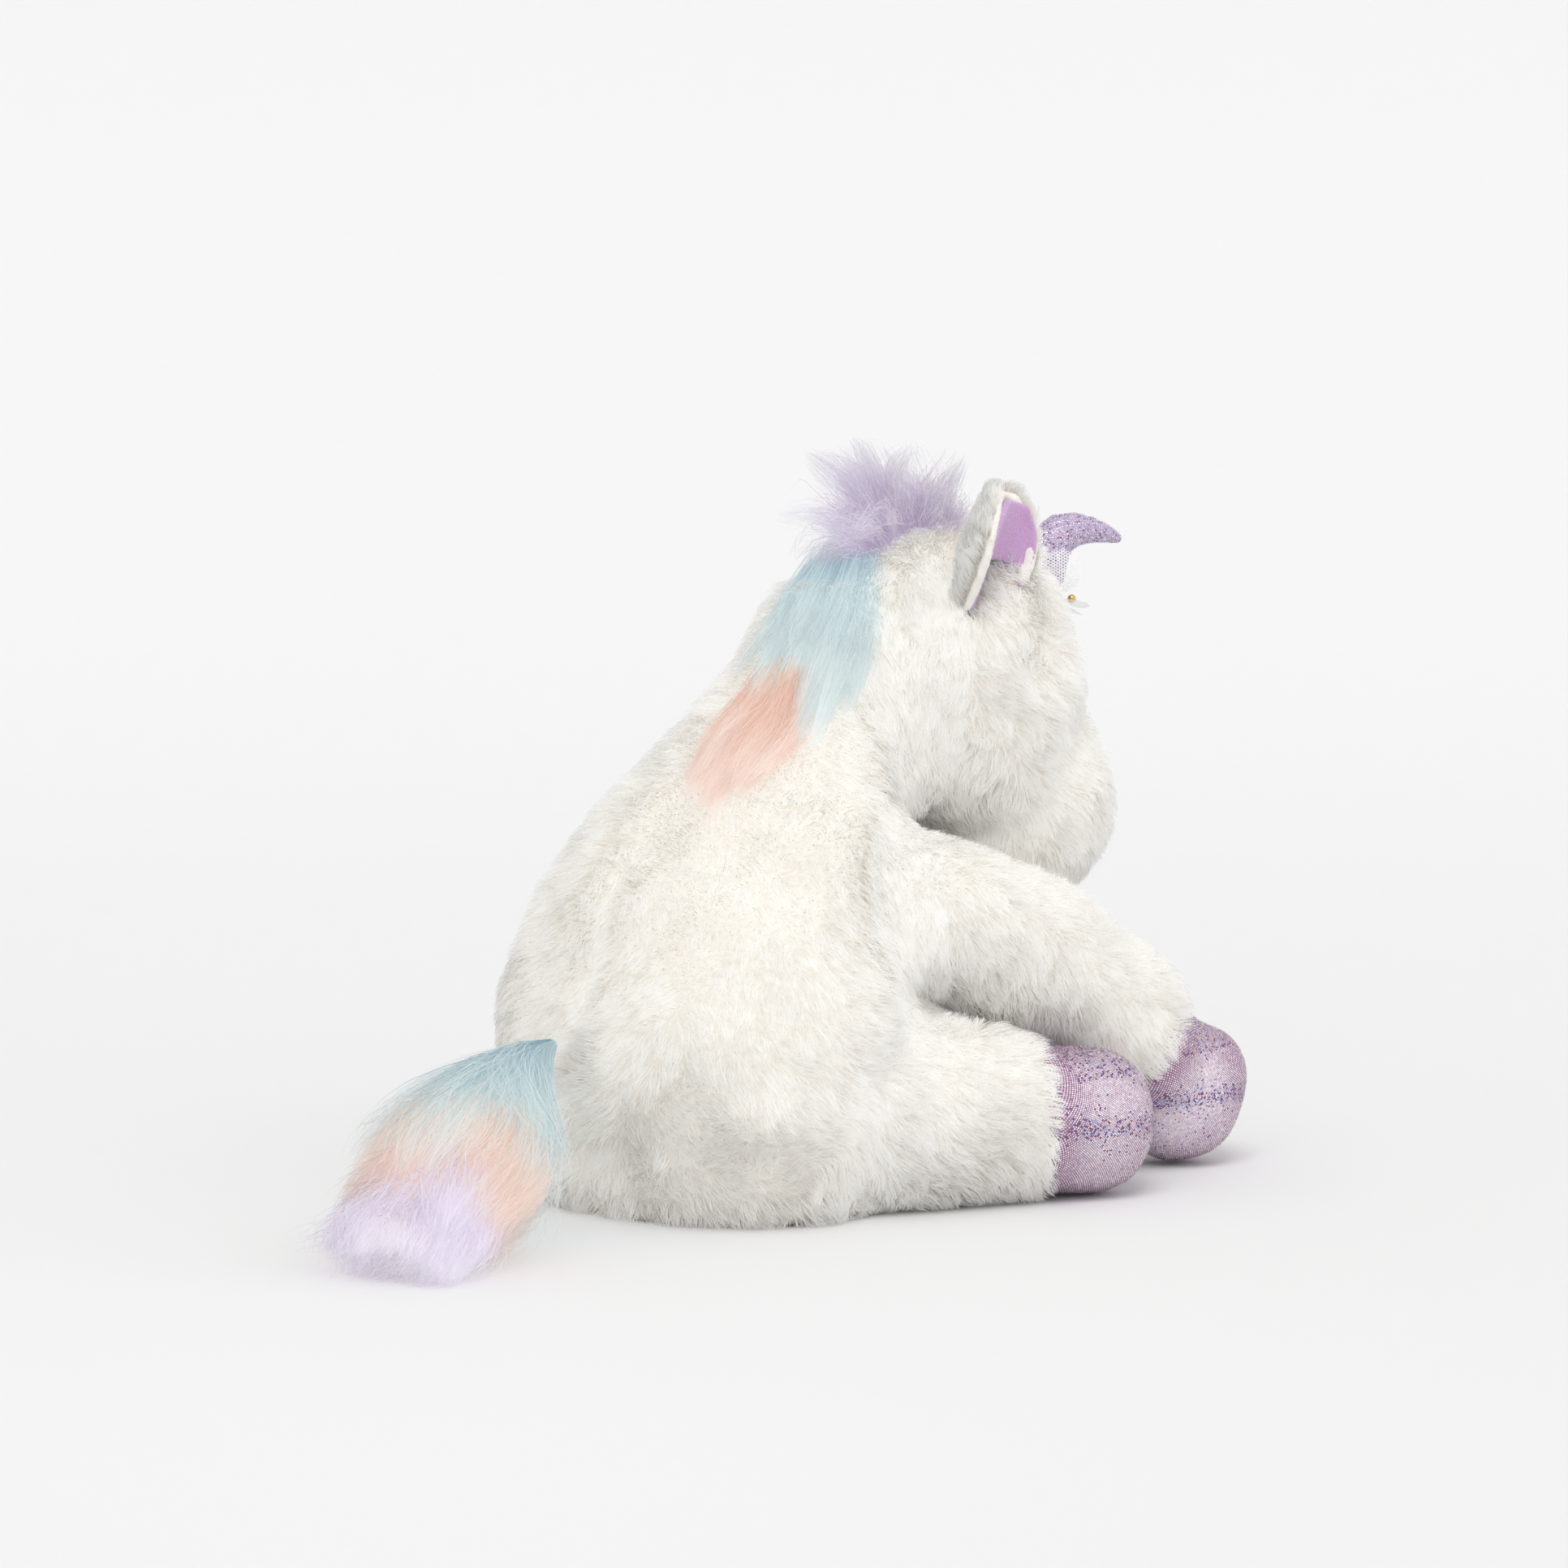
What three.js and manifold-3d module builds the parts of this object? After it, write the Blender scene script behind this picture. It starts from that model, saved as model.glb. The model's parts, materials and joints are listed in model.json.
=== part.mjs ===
// A seated plush unicorn with a turned, hanging head, floppy limbs, a soft bent horn and long-pile hair.
// Millimetres, +Z up. It faces -Y and its right side is -X. The origin is the middle of the flat seat.
// Every fur piece is a thin sewn cover over its own fibre filling, and every limb is hinged at its seam.
import * as THREE from "three";
import { mergeVertices } from "three/addons/utils/BufferGeometryUtils.js";
import Module from "manifold-3d";

const wasm = await Module();
wasm.setup();

// ---- driving dimensions ----
const FUR_COVER = 3.4; // fur fabric with its pressed pile
const FOIL_COVER = 2.2; // printed foil fabric on hooves and horn
const GAP = 0.4; // between sewn pieces and between cover and filling
const JOINT_CLEARANCE = 1.2; // between a limb and the socket that it turns in
const SEAT_PANEL = 4;
const FILLING_GAP = 2; // a filling has fewer sides than its cover

// Stations of a stuffed form: centre point, half-width across, half-depth.
const TORSO = [
  [0, 4, 0, 84, 60],
  [0, 4, 12, 100, 72],
  [0, 4, 38, 110, 80],
  [0, 2, 70, 111, 81],
  [0, -6, 108, 104, 77],
  [0, -23, 148, 89, 68],
  [0, -45, 184, 69, 56],
  [0, -62, 212, 50, 45],
  [0, -78, 238, 40, 39],
  [0, -94, 262, 38, 38],
];
const NECK_BALL = 38;
const HEAD_PIVOT = new THREE.Vector3(0, -94, 262);
const HEAD_TURN = -21; // degrees about Z: the head looks towards its right
// Head stations are in its own frame, with the pivot at the origin.
const HEAD = [
  [0, -53, 22, 54, 51],
  [0, -60, 0, 60, 56],
  [0, -69, -32, 61, 56],
  [0, -86, -64, 52, 48],
  [0, -105, -96, 43, 42],
];
const CROWN_CAP = 40;
const MUZZLE_CAP = 26;

const SHOULDER = [70, -76, 139];
const FRONT_LEG = [
  [70, -76, 139, 34, 34],
  [77, -112, 128, 34, 34],
  [86, -160, 104, 33, 33],
  [94, -204, 70, 31, 32],
  [98, -232, 41, 32, 35],
  [99, -246, 34.2, 33, 36],
];
const HIP = [80, -42, 47];
const HIND_LEG = [
  [80, -42, 47, 43, 43],
  [98, -80, 44, 39, 40],
  [114, -113, 39, 34, 35],
  [123, -135, 36.8, 34, 36],
  [127, -145, 36.4, 34, 36],
];

const TAIL = [
  [0, 104, 84, 15, 15],
  [-5, 124, 75, 27, 25],
  [-14, 149, 58, 40, 33],
  [-28, 180, 39, 46, 34],
  [-40, 210, 26, 40, 24],
  [-49, 232, 16.5, 28, 15],
];

const LEG_SHAPE = { sides: 12, rings: 7, endCap: 26 };
const FRONT_CUFF = { at: [95, -210, 66], along: [0.22, -0.75, -0.63] };
const HIND_CUFF = { at: [113, -112, 39], along: [0.5, -0.86, 0] };
const PELLET_POUCH = [
  [0, 4, 4.8, 56, 40],
  [0, 4, 18, 62, 46],
  [0, 4, 30, 50, 36],
];
const TAIL_CUTS = [
  { at: [-14, 148, 58], along: [-0.35, 0.8, -0.45] },
  { at: [-34, 194, 34], along: [-0.4, 0.85, -0.35] },
];
const MANE_LILAC = [
  [-20, -146, 319, 20, 9],
  [-16, -124, 330, 30, 15],
  [-12, -100, 337, 26, 15],
  [-10, -78, 334, 14, 8],
];
const MANE_BLUE = [
  [-8, -92, 308, 18, 9],
  [-23, -67, 293, 26, 10],
  [-30, -55, 265, 26, 10],
  [-35, -43, 237, 14, 7],
];
const MANE_PEACH = [
  [-24, -44, 254, 12, 7],
  [-22, -31, 240, 19, 9],
  [-17, -9, 218, 23, 9],
  [-5, 15, 196, 12, 6],
];
const MANE_LATERAL = [0.7, 0.72, 0];

// The head's small pieces, in its own frame.
const GUSSET_HALF = 21;
const EAR = {
  root: [49, -53, 20],
  long: [0.2, -0.32, 1],
  openTurn: 60,
  length: 60,
  halfWidth: 20,
  cup: 12,
  clearance: 4.4,
};
const EAR_BACK = 4.5;
const EAR_LINING = 1.6;
const EYE = {
  radius: 6.5,
  dome: 4,
  stem: 2,
  stemLength: 13,
  washer: 6,
  washerDepth: 7.6,
  turn: 28,
  reach: 52.8,
  forward: 72,
  height: -27,
};
const HORN = [
  [0, -112, 37, 12.5, 12.5],
  [0, -115, 47, 12, 12],
  [0, -122, 56, 10.5, 10.5],
  [0, -134, 59, 8, 8],
  [0, -147, 57, 5, 5],
  [0, -156, 54, 2.6, 2.6],
];
const HORN_TIP_CAP = 2.4;
const HORN_CLEARANCE = 2.6;
const HORN_FOOT = new THREE.Vector3(0, -110, 26);
const HORN_LEAN = 0.5;
const PETAL_RING = 15;
const PETAL_THICKNESS = 0.6;
// Petals: name, turn round the horn, outward tilt, length, half-width.
const PETALS = [
  ["petal_net_right", -1.75, 0.3, 23, 11],
  ["petal_net_left", 1.75, 0.3, 23, 11],
  ["petal_tulle_right", -0.8, 1.3, 14, 6.5],
  ["petal_tulle_left", 0.8, 1.3, 14, 6.5],
  ["petal_tulle_front", 0, 1.5, 13, 6],
];
const BEAD_RADIUS = 2.2;
const BEADS = [
  [-6, -127, 24],
  [6, -128, 18],
];

// A blank care label hangs from the left flank.
const LABEL = { top: [113.2, 6, 54], width: 22, length: 36, flare: 5, thickness: 0.8 };

const SIDES = [["right", -1], ["left", 1]];

// Joints: pivot, axis and range in degrees. Sockets are cut for the whole range.
const JOINTS = {
  head: { pivot: HEAD_PIVOT.toArray(), axis: turnedAxis([-1, 0, 0]), range: [-6, 30] },
  frontLeg: { pivot: SHOULDER, axis: [-0.82, 0, 0.57], range: [0, 40] },
  hindLeg: { pivot: HIP, axis: [0, 0, 1], range: [0, 30] },
};

// ---- materials ----
const furMaterial = fabric("#f4efe6");
const fillMaterial = fabric("#fafafa");
const foilMaterial = fabric("#b48fb8", 0.35, 0.5);
const liningMaterial = fabric("#c9a2c9");
const lilacMaterial = fabric("#bfb2d0");
const blueMaterial = fabric("#b4d0d8");
const peachMaterial = fabric("#ecc6b2");
const netMaterial = fabric("#f2f2f6", 0.4, 0.2);
const clothMaterial = fabric("#ffffff");
const beadMaterial = fabric("#c8953c", 0.25, 1);
const eyeMaterial = fabric("#15130f", 0.12);
const washerMaterial = fabric("#e8e8e8", 0.5);

function fabric(color, roughness = 0.95, metalness = 0) {
  return new THREE.MeshStandardMaterial({ color, roughness, metalness });
}

// An axis given in the head's frame, turned into the part's frame.
function turnedAxis(axis) {
  const turn = THREE.MathUtils.degToRad(HEAD_TURN);
  return new THREE.Vector3(...axis).applyAxisAngle(new THREE.Vector3(0, 0, 1), turn).toArray();
}

// ---- solids ----
function solid(geometry) {
  const bare = geometry.clone();
  for (const name of ["normal", "uv"]) bare.deleteAttribute(name);
  const merged = mergeVertices(bare, 1e-4);
  const vertProperties = new Float32Array(merged.attributes.position.array);
  const triVerts = new Uint32Array(merged.index.array);
  return new wasm.Manifold(new wasm.Mesh({ numProp: 3, vertProperties, triVerts }));
}

function meshOf(body, name, material) {
  const { vertProperties, triVerts } = body.getMesh();
  const geometry = new THREE.BufferGeometry();
  geometry.setAttribute("position", new THREE.BufferAttribute(new Float32Array(vertProperties), 3));
  geometry.setIndex(new THREE.BufferAttribute(new Uint32Array(triVerts), 1));
  geometry.computeVertexNormals();
  const mesh = new THREE.Mesh(geometry, material);
  mesh.name = name;
  return mesh;
}

// The stations with both half-sizes grown by a distance.
function grown(stations, by) {
  return stations.map(([x, y, z, across, deep]) => [x, y, z, across + by, deep + by]);
}

// The stations of the same form on the other side of the body.
function onSide(stations, side) {
  return stations.map(([x, ...rest]) => [side * x, ...rest]);
}

// A stuffed form: elliptic rings along a smooth path. A cap of depth 0 is flat, a deeper one is domed.
function stuffed(stations, { sides = 16, rings = 8, startCap = 0, endCap = 0, lateral = [1, 0, 0] } = {}) {
  const path = new THREE.CatmullRomCurve3(stations.map(([x, y, z]) => new THREE.Vector3(x, y, z)));
  const size = new THREE.CatmullRomCurve3(stations.map((s) => new THREE.Vector3(s[3], s[4], 0)));
  const domeSteps = 3;
  const sections = [];
  const addSection = (t, cap, angle) => {
    const along = path.getTangent(t).normalize();
    const scale = Math.cos(angle);
    const offset = cap * Math.sin(angle);
    sections.push({ t, along, scale, centre: path.getPoint(t).addScaledVector(along, offset) });
  };
  if (startCap) {
    for (let i = domeSteps - 1; i > 0; i--) addSection(0, -startCap, (i / domeSteps) * (Math.PI / 2));
  }
  for (let i = 0; i <= rings; i++) addSection(i / rings, 0, 0);
  if (endCap) {
    for (let i = 1; i < domeSteps; i++) addSection(1, endCap, (i / domeSteps) * (Math.PI / 2));
  }
  const positions = [];
  for (const { t, along, scale, centre } of sections) {
    const half = size.getPoint(t);
    const across = new THREE.Vector3(...lateral);
    across.addScaledVector(along, -across.dot(along)).normalize();
    const up = new THREE.Vector3().crossVectors(along, across);
    for (let j = 0; j < sides; j++) {
      const angle = (j / sides) * 2 * Math.PI;
      const point = centre.clone();
      point.addScaledVector(across, half.x * scale * Math.cos(angle));
      point.addScaledVector(up, half.y * scale * Math.sin(angle));
      positions.push(...point.toArray());
    }
  }
  const first = path.getPoint(0).addScaledVector(path.getTangent(0).normalize(), -startCap);
  const last = path.getPoint(1).addScaledVector(path.getTangent(1).normalize(), endCap);
  positions.push(...first.toArray(), ...last.toArray());
  const firstIndex = sections.length * sides;
  const index = [];
  for (let j = 0; j < sides; j++) {
    const next = (j + 1) % sides;
    for (let i = 0; i < sections.length - 1; i++) {
      const [a, b] = [i * sides + j, i * sides + next];
      index.push(a, b, b + sides, a, b + sides, a + sides);
    }
    const top = (sections.length - 1) * sides;
    index.push(firstIndex, next, j, firstIndex + 1, top + j, top + next);
  }
  const geometry = new THREE.BufferGeometry();
  geometry.setAttribute("position", new THREE.Float32BufferAttribute(positions, 3));
  return geometry.setIndex(index);
}

// A sheet of even thickness on the surface pointAt(u, v), with u and v from 0 to 1.
function thickSheet(pointAt, thickness, columns, rows) {
  const step = 1e-3;
  const positions = [];
  for (const side of [0.5, -0.5]) {
    for (let i = 0; i <= rows; i++) {
      for (let j = 0; j <= columns; j++) {
        const [u, v] = [j / columns, i / rows];
        const at = pointAt(u, v);
        const alongU = pointAt(u + step, v).sub(pointAt(u - step, v));
        const alongV = pointAt(u, v + step).sub(pointAt(u, v - step));
        const normal = alongU.cross(alongV).normalize();
        positions.push(...at.addScaledVector(normal, side * thickness).toArray());
      }
    }
  }
  const width = columns + 1;
  const back = width * (rows + 1);
  const index = [];
  const quad = (a, b, c, d) => index.push(a, b, c, a, c, d);
  for (let i = 0; i < rows; i++) {
    for (let j = 0; j < columns; j++) {
      const a = i * width + j;
      quad(a, a + 1, a + width + 1, a + width);
      quad(back + a, back + a + width, back + a + width + 1, back + a + 1);
    }
    const [left, right] = [i * width, i * width + columns];
    quad(left, left + width, back + left + width, back + left);
    quad(right, back + right, back + right + width, right + width);
  }
  for (let j = 0; j < columns; j++) {
    const top = rows * width + j;
    quad(j, back + j, back + j + 1, j + 1);
    quad(top, top + 1, back + top + 1, back + top);
  }
  const geometry = new THREE.BufferGeometry();
  geometry.setAttribute("position", new THREE.Float32BufferAttribute(positions, 3));
  return geometry.setIndex(index);
}

function block(size, centre, turnX = 0) {
  const geometry = new THREE.BoxGeometry(...size).rotateX(turnX);
  return solid(geometry.translate(...centre));
}

function ball(radius, centre, sides = 20) {
  return solid(new THREE.SphereGeometry(radius, sides, sides / 2 + 4).translate(...centre));
}

// Everything on the far side of a plane through a point, as a large block.
function beyond(point, normal) {
  const reach = 600;
  const direction = new THREE.Vector3(...normal).normalize();
  const turn = new THREE.Quaternion().setFromUnitVectors(new THREE.Vector3(0, 0, 1), direction);
  const geometry = new THREE.BoxGeometry(reach, reach, reach).translate(0, 0, reach / 2);
  return solid(geometry.applyQuaternion(turn).translate(...point));
}

// A form cut across its length at planes, into pieces with a sewing gap between them.
function slices(body, cuts) {
  const pieces = [];
  let rest = body;
  for (const { at, along } of cuts) {
    const step = new THREE.Vector3(...along).normalize().multiplyScalar(GAP);
    const after = new THREE.Vector3(...at).add(step).toArray();
    pieces.push(rest.subtract(beyond(at, along)));
    rest = rest.intersect(beyond(after, along));
  }
  return [...pieces, rest];
}

// The space that a form passes through as it turns about a joint.
function swept(geometry, { pivot, axis, range }, stepDegrees, cut) {
  const steps = Math.ceil((range[1] - range[0]) / stepDegrees);
  const centre = new THREE.Vector3(...pivot);
  const direction = new THREE.Vector3(...axis).normalize();
  let space;
  for (let i = 0; i <= steps; i++) {
    const angle = THREE.MathUtils.degToRad(range[0] + ((range[1] - range[0]) * i) / steps);
    const turn = new THREE.Quaternion().setFromAxisAngle(direction, angle);
    const copy = geometry.clone().translate(...centre.clone().negate().toArray());
    copy.applyQuaternion(turn).translate(...centre.toArray());
    const posed = cut ? solid(copy).subtract(cut) : solid(copy);
    space = space ? space.add(posed) : posed;
  }
  return space;
}

// ---- head, in its own frame ----
const headGeometry = (by, sides = 20) =>
  stuffed(grown(HEAD, by), { sides, rings: 6, startCap: CROWN_CAP + by, endCap: MUZZLE_CAP + by });
const headOuter = solid(headGeometry(0));

const headGroup = new THREE.Group();
headGroup.position.copy(HEAD_PIVOT);
headGroup.rotation.z = THREE.MathUtils.degToRad(HEAD_TURN);
headGroup.updateMatrix();

// The two axes of a cupped ear: along its length, and the way that its hollow opens.
function earAxes(side) {
  const turn = THREE.MathUtils.degToRad(EAR.openTurn);
  const long = new THREE.Vector3(side * EAR.long[0], EAR.long[1], EAR.long[2]).normalize();
  const open = new THREE.Vector3(side * Math.sin(turn), -Math.cos(turn), 0);
  open.addScaledVector(long, -open.dot(long)).normalize();
  return { long, open, across: new THREE.Vector3().crossVectors(open, long) };
}

// A sheet of the ear, a depth inside its back: u runs across the leaf, v from root to tip.
function earSheet(side, depth, thickness, inset) {
  const { long, open, across } = earAxes(side);
  const pointAt = (u, v) => {
    const reach = Math.min(Math.max(v, 0), 1) * (1 - inset);
    const fullness = Math.sin(Math.PI * (0.2 + 0.5 * reach)) * Math.sqrt(1 - 0.9 * reach ** 6);
    const radius = EAR.halfWidth * fullness;
    const angle = (2 * u - 1) * (1 - inset) * THREE.MathUtils.lerp(1.75, 1.35, reach);
    const point = new THREE.Vector3(side * EAR.root[0], EAR.root[1], EAR.root[2]);
    point.addScaledVector(long, EAR.length * (v * (1 - inset)));
    point.addScaledVector(across, (radius - depth) * Math.sin(angle));
    return point.addScaledVector(open, radius - EAR.cup - (radius - depth) * Math.cos(angle));
  };
  return solid(thickSheet(pointAt, thickness, 8, 6)).subtract(solid(headGeometry(EAR.clearance)));
}

// A turned piece set into the face at an eye, from [radius, height] corners.
function eyeFitting(side, corners) {
  const profile = corners.map(([r, h]) => new THREE.Vector2(r, h));
  const geometry = new THREE.LatheGeometry(profile, 12).rotateX(Math.PI).translate(0, -EYE.reach, 0);
  geometry.rotateZ(side * THREE.MathUtils.degToRad(EYE.turn)).translate(0, -EYE.forward, EYE.height);
  return solid(geometry);
}

// A safety eye: a dome on a stem that passes through the cover.
function eye(side, by) {
  const corners = [[0, -EYE.stemLength - by], [EYE.stem + by, -EYE.stemLength - by], [EYE.stem + by, -by]];
  for (let i = 0; i < 4; i++) {
    const angle = (i / 4) * (Math.PI / 2);
    corners.push([(EYE.radius + by) * Math.cos(angle), -by + (EYE.dome + 2 * by) * Math.sin(angle)]);
  }
  return eyeFitting(side, [...corners, [0, EYE.dome + by]]);
}

// The lock washer pressed on the stem inside the cover.
function eyeWasher(side, by) {
  const [inner, outer] = [EYE.stem + 0.4, EYE.washer + by];
  const [top, bottom] = [-EYE.washerDepth + by, -EYE.washerDepth - 1.4 - by];
  return eyeFitting(side, [[inner, bottom], [outer, bottom], [outer, top], [inner, top], [inner, bottom]]);
}

const hornGeometry = (by) =>
  stuffed(grown(HORN, by), { sides: 12, rings: 7, startCap: 12 + by, endCap: HORN_TIP_CAP + by });

const eyeHoles = [-1, 1].map((side) => eye(side, GAP));
const headShell = eyeHoles.reduce(
  (shell, hole) => shell.subtract(hole),
  headOuter.subtract(solid(headGeometry(-FUR_COVER))).subtract(ball(NECK_BALL + 1.5, [0, 0, 0])),
);
const headFilling = [-1, 1].reduce(
  (filling, side) => filling.subtract(eye(side, GAP)).subtract(eyeWasher(side, 2 * GAP)),
  solid(headGeometry(-FUR_COVER - FILLING_GAP, 14)).subtract(ball(NECK_BALL + 5.5, [0, 0, 0])),
);

// Three fur panels: a gusset over the forehead and nose, and a cheek panel each side.
const gussetZone = (by) => block([2 * (GUSSET_HALF + by), 220, 330], [0, -162 + by, 20], -0.34);
const cheeks = headShell.subtract(gussetZone(GAP));
const hornShell = solid(hornGeometry(0)).subtract(solid(hornGeometry(-FOIL_COVER)));
const hornStuffing = solid(hornGeometry(-FOIL_COVER - GAP));
const hornHeadroom = solid(headGeometry(HORN_CLEARANCE));
const headParts = {
  head_centre_gusset: [headShell.intersect(gussetZone(0)), furMaterial],
  head_right_panel: [cheeks.intersect(beyond([-GAP / 2, 0, 0], [-1, 0, 0])), furMaterial],
  head_left_panel: [cheeks.intersect(beyond([GAP / 2, 0, 0], [1, 0, 0])), furMaterial],
  head_filling: [headFilling, fillMaterial],
  horn_cover: [hornShell.subtract(hornHeadroom).subtract(beyond([0, -111, 31], [0, 0.3, -1])), foilMaterial],
  horn_filling: [hornStuffing.subtract(hornHeadroom), fillMaterial],
};
for (const [name, side] of SIDES) {
  headParts[`ear_${name}_back`] = [earSheet(side, 0, EAR_BACK, 0), furMaterial];
  headParts[`ear_${name}_lining`] = [
    earSheet(side, EAR_BACK / 2 + EAR_LINING / 2 + 4 * GAP, EAR_LINING, 0.08),
    liningMaterial,
  ];
  headParts[`eye_${name}`] = [eye(side, 0), eyeMaterial];
  headParts[`eye_${name}_washer`] = [eyeWasher(side, 0), washerMaterial];
}

// A decoration round the horn's foot: petals of net and of tulle, and gold beads.
function petal({ turn, tilt, length, halfWidth }) {
  const pointAt = (u, v) => {
    const half = halfWidth * Math.sin(Math.PI * THREE.MathUtils.lerp(0.16, 0.93, v)) + 1;
    const cup = 0.12 * length * Math.sin(Math.PI * v);
    const point = new THREE.Vector3((2 * u - 1) * half, -PETAL_RING - cup * 0.6, 2 + length * v);
    point.y += 0.1 * half * (2 * u - 1) ** 2;
    point.sub(new THREE.Vector3(0, -PETAL_RING, 2)).applyAxisAngle(new THREE.Vector3(1, 0, 0), tilt);
    point.add(new THREE.Vector3(0, -PETAL_RING, 2)).applyAxisAngle(new THREE.Vector3(0, 0, 1), turn);
    return point.applyAxisAngle(new THREE.Vector3(1, 0, 0), HORN_LEAN).add(HORN_FOOT);
  };
  const sheet = solid(thickSheet(pointAt, PETAL_THICKNESS, 4, 3)).subtract(solid(headGeometry(GAP)));
  return BEADS.reduce((rest, centre) => rest.subtract(ball(BEAD_RADIUS + GAP, centre, 8)), sheet);
}

PETALS.forEach(([name, turn, tilt, length, halfWidth]) => {
  headParts[name] = [petal({ turn, tilt, length, halfWidth }), netMaterial];
});
BEADS.forEach((centre, i) => {
  const geometry = new THREE.SphereGeometry(BEAD_RADIUS, 8, 6).translate(...centre);
  headParts[`bead_${i + 1}`] = [solid(geometry), beadMaterial];
});

// ---- torso ----
const torsoGeometry = (by, sides = 22) =>
  stuffed(grown(TORSO, by), { sides, rings: 8, endCap: NECK_BALL + by });
const frontLegGeometry = (side, by) =>
  stuffed(grown(onSide(FRONT_LEG, side), by), { ...LEG_SHAPE, startCap: FRONT_LEG[0][3] + by });
const hindLegGeometry = (side, by) =>
  stuffed(grown(onSide(HIND_LEG, side), by), { ...LEG_SHAPE, startCap: HIND_LEG[0][3] + by });

// A joint of the right side has its pivot and axis mirrored.
function sideJoint({ pivot, axis, range }, side) {
  return { pivot: [side * pivot[0], pivot[1], pivot[2]], axis: [axis[0], side * axis[1], side * axis[2]], range };
}

const headPosed = headGeometry(JOINT_CLEARANCE).applyMatrix4(headGroup.matrix);
let sockets = swept(headPosed, JOINTS.head, 12, ball(NECK_BALL + 0.6, HEAD_PIVOT.toArray()));
for (const [, side] of SIDES) {
  for (const [shape, joint, radius] of [
    [frontLegGeometry, sideJoint(JOINTS.frontLeg, side), FRONT_LEG[0][3]],
    [hindLegGeometry, sideJoint(JOINTS.hindLeg, side), HIND_LEG[0][3]],
  ]) {
    const room = ball(radius + 2 * JOINT_CLEARANCE, joint.pivot);
    sockets = sockets.add(swept(shape(side, JOINT_CLEARANCE), joint, 20)).add(room);
  }
}

const torsoSolid = solid(torsoGeometry(0));
const torsoShell = torsoSolid.subtract(solid(torsoGeometry(-FUR_COVER))).subtract(sockets);
const aboveSeat = beyond([0, 0, SEAT_PANEL + GAP], [0, 0, 1]);
const sidePanels = torsoShell.intersect(aboveSeat);
const seatPanel = torsoSolid.subtract(sockets).subtract(beyond([0, 0, SEAT_PANEL], [0, 0, 1]));
const pouch = (by) =>
  stuffed(grown(PELLET_POUCH, by), { sides: 16, rings: 3, startCap: 2 * by, endCap: 6 + by });
const torsoFilling = solid(torsoGeometry(-FUR_COVER - FILLING_GAP, 14))
  .subtract(sockets)
  .intersect(aboveSeat)
  .subtract(solid(pouch(GAP)));

const parts = {
  torso_right_panel: [sidePanels.intersect(beyond([-GAP / 2, 0, 0], [-1, 0, 0])), furMaterial],
  torso_left_panel: [sidePanels.intersect(beyond([GAP / 2, 0, 0], [1, 0, 0])), furMaterial],
  seat_panel: [seatPanel, furMaterial],
  torso_filling: [torsoFilling, fillMaterial],
  pellet_pouch: [solid(pouch(0)), clothMaterial],
};

// ---- blank care label ----
const labelPoint = (u, v) => {
  const [x, y, z] = LABEL.top;
  return new THREE.Vector3(x + LABEL.flare * v * v, y + (u - 0.5) * LABEL.width, z - LABEL.length * v);
};
parts.care_label = [solid(thickSheet(labelPoint, LABEL.thickness, 2, 4)), clothMaterial];

// ---- legs: a fur sleeve, a foil hoof and one fibre filling in both ----
for (const [name, side] of SIDES) {
  for (const [limb, shape, cuff] of [
    ["front", frontLegGeometry, FRONT_CUFF],
    ["hind", hindLegGeometry, HIND_CUFF],
  ]) {
    const [x, ...rest] = cuff.at;
    const cut = { at: [side * x, ...rest], along: [side * cuff.along[0], ...cuff.along.slice(1)] };
    const [sleeve] = slices(solid(shape(side, 0)).subtract(solid(shape(side, -FUR_COVER))), [cut]);
    const [, hoof] = slices(solid(shape(side, 0)).subtract(solid(shape(side, -FOIL_COVER))), [cut]);
    parts[`${limb}_leg_${name}_cover`] = [sleeve, furMaterial];
    parts[`${limb}_hoof_${name}`] = [hoof, foilMaterial];
    parts[`${limb}_leg_${name}_filling`] = [solid(shape(side, -FUR_COVER - GAP)), fillMaterial];
  }
}

// ---- tail and mane: strips of long-pile fabric, one colour each ----
const tail = slices(solid(stuffed(TAIL, { sides: 14, rings: 8, startCap: 15, endCap: 14 })), TAIL_CUTS);
const TAIL_PARTS = [
  ["tail_blue", blueMaterial],
  ["tail_peach", peachMaterial],
  ["tail_lilac", lilacMaterial],
];
TAIL_PARTS.forEach(([name, material], i) => {
  parts[name] = [tail[i], material];
});

const bodyClear = solid(torsoGeometry(2 * GAP));
const headClear = solid(headGeometry(2 * GAP).applyMatrix4(headGroup.matrix));
const strip = (stations, lateral, by) =>
  solid(stuffed(grown(stations, by), { sides: 10, rings: 5, startCap: 7 + by, endCap: 9 + by, lateral }));
const hairStrip = (stations, lateral) => strip(stations, lateral, 0).subtract(bodyClear).subtract(headClear);
const blueClear = strip(MANE_BLUE, MANE_LATERAL, 2 * GAP);
parts.mane_lilac = [hairStrip(MANE_LILAC, [1, 0, 0]), lilacMaterial];
parts.mane_blue = [hairStrip(MANE_BLUE, MANE_LATERAL), blueMaterial];
parts.mane_peach = [hairStrip(MANE_PEACH, MANE_LATERAL).subtract(blueClear), peachMaterial];

const unicorn = new THREE.Group();
unicorn.name = "plush_unicorn";
for (const [group, pieces] of [[headGroup, headParts], [unicorn, parts]]) {
  for (const [name, [body, material]] of Object.entries(pieces)) group.add(meshOf(body, name, material));
}
unicorn.add(headGroup);
export default unicorn;
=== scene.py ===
"""A seated plush unicorn: fur, long hair, foil fabric and trim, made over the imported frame.

Lengths inside this script are millimetres, in the frame's own axes: the toy faces -Y, +Z is up.
Meshes are written in metres.
"""

import json
import math

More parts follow.
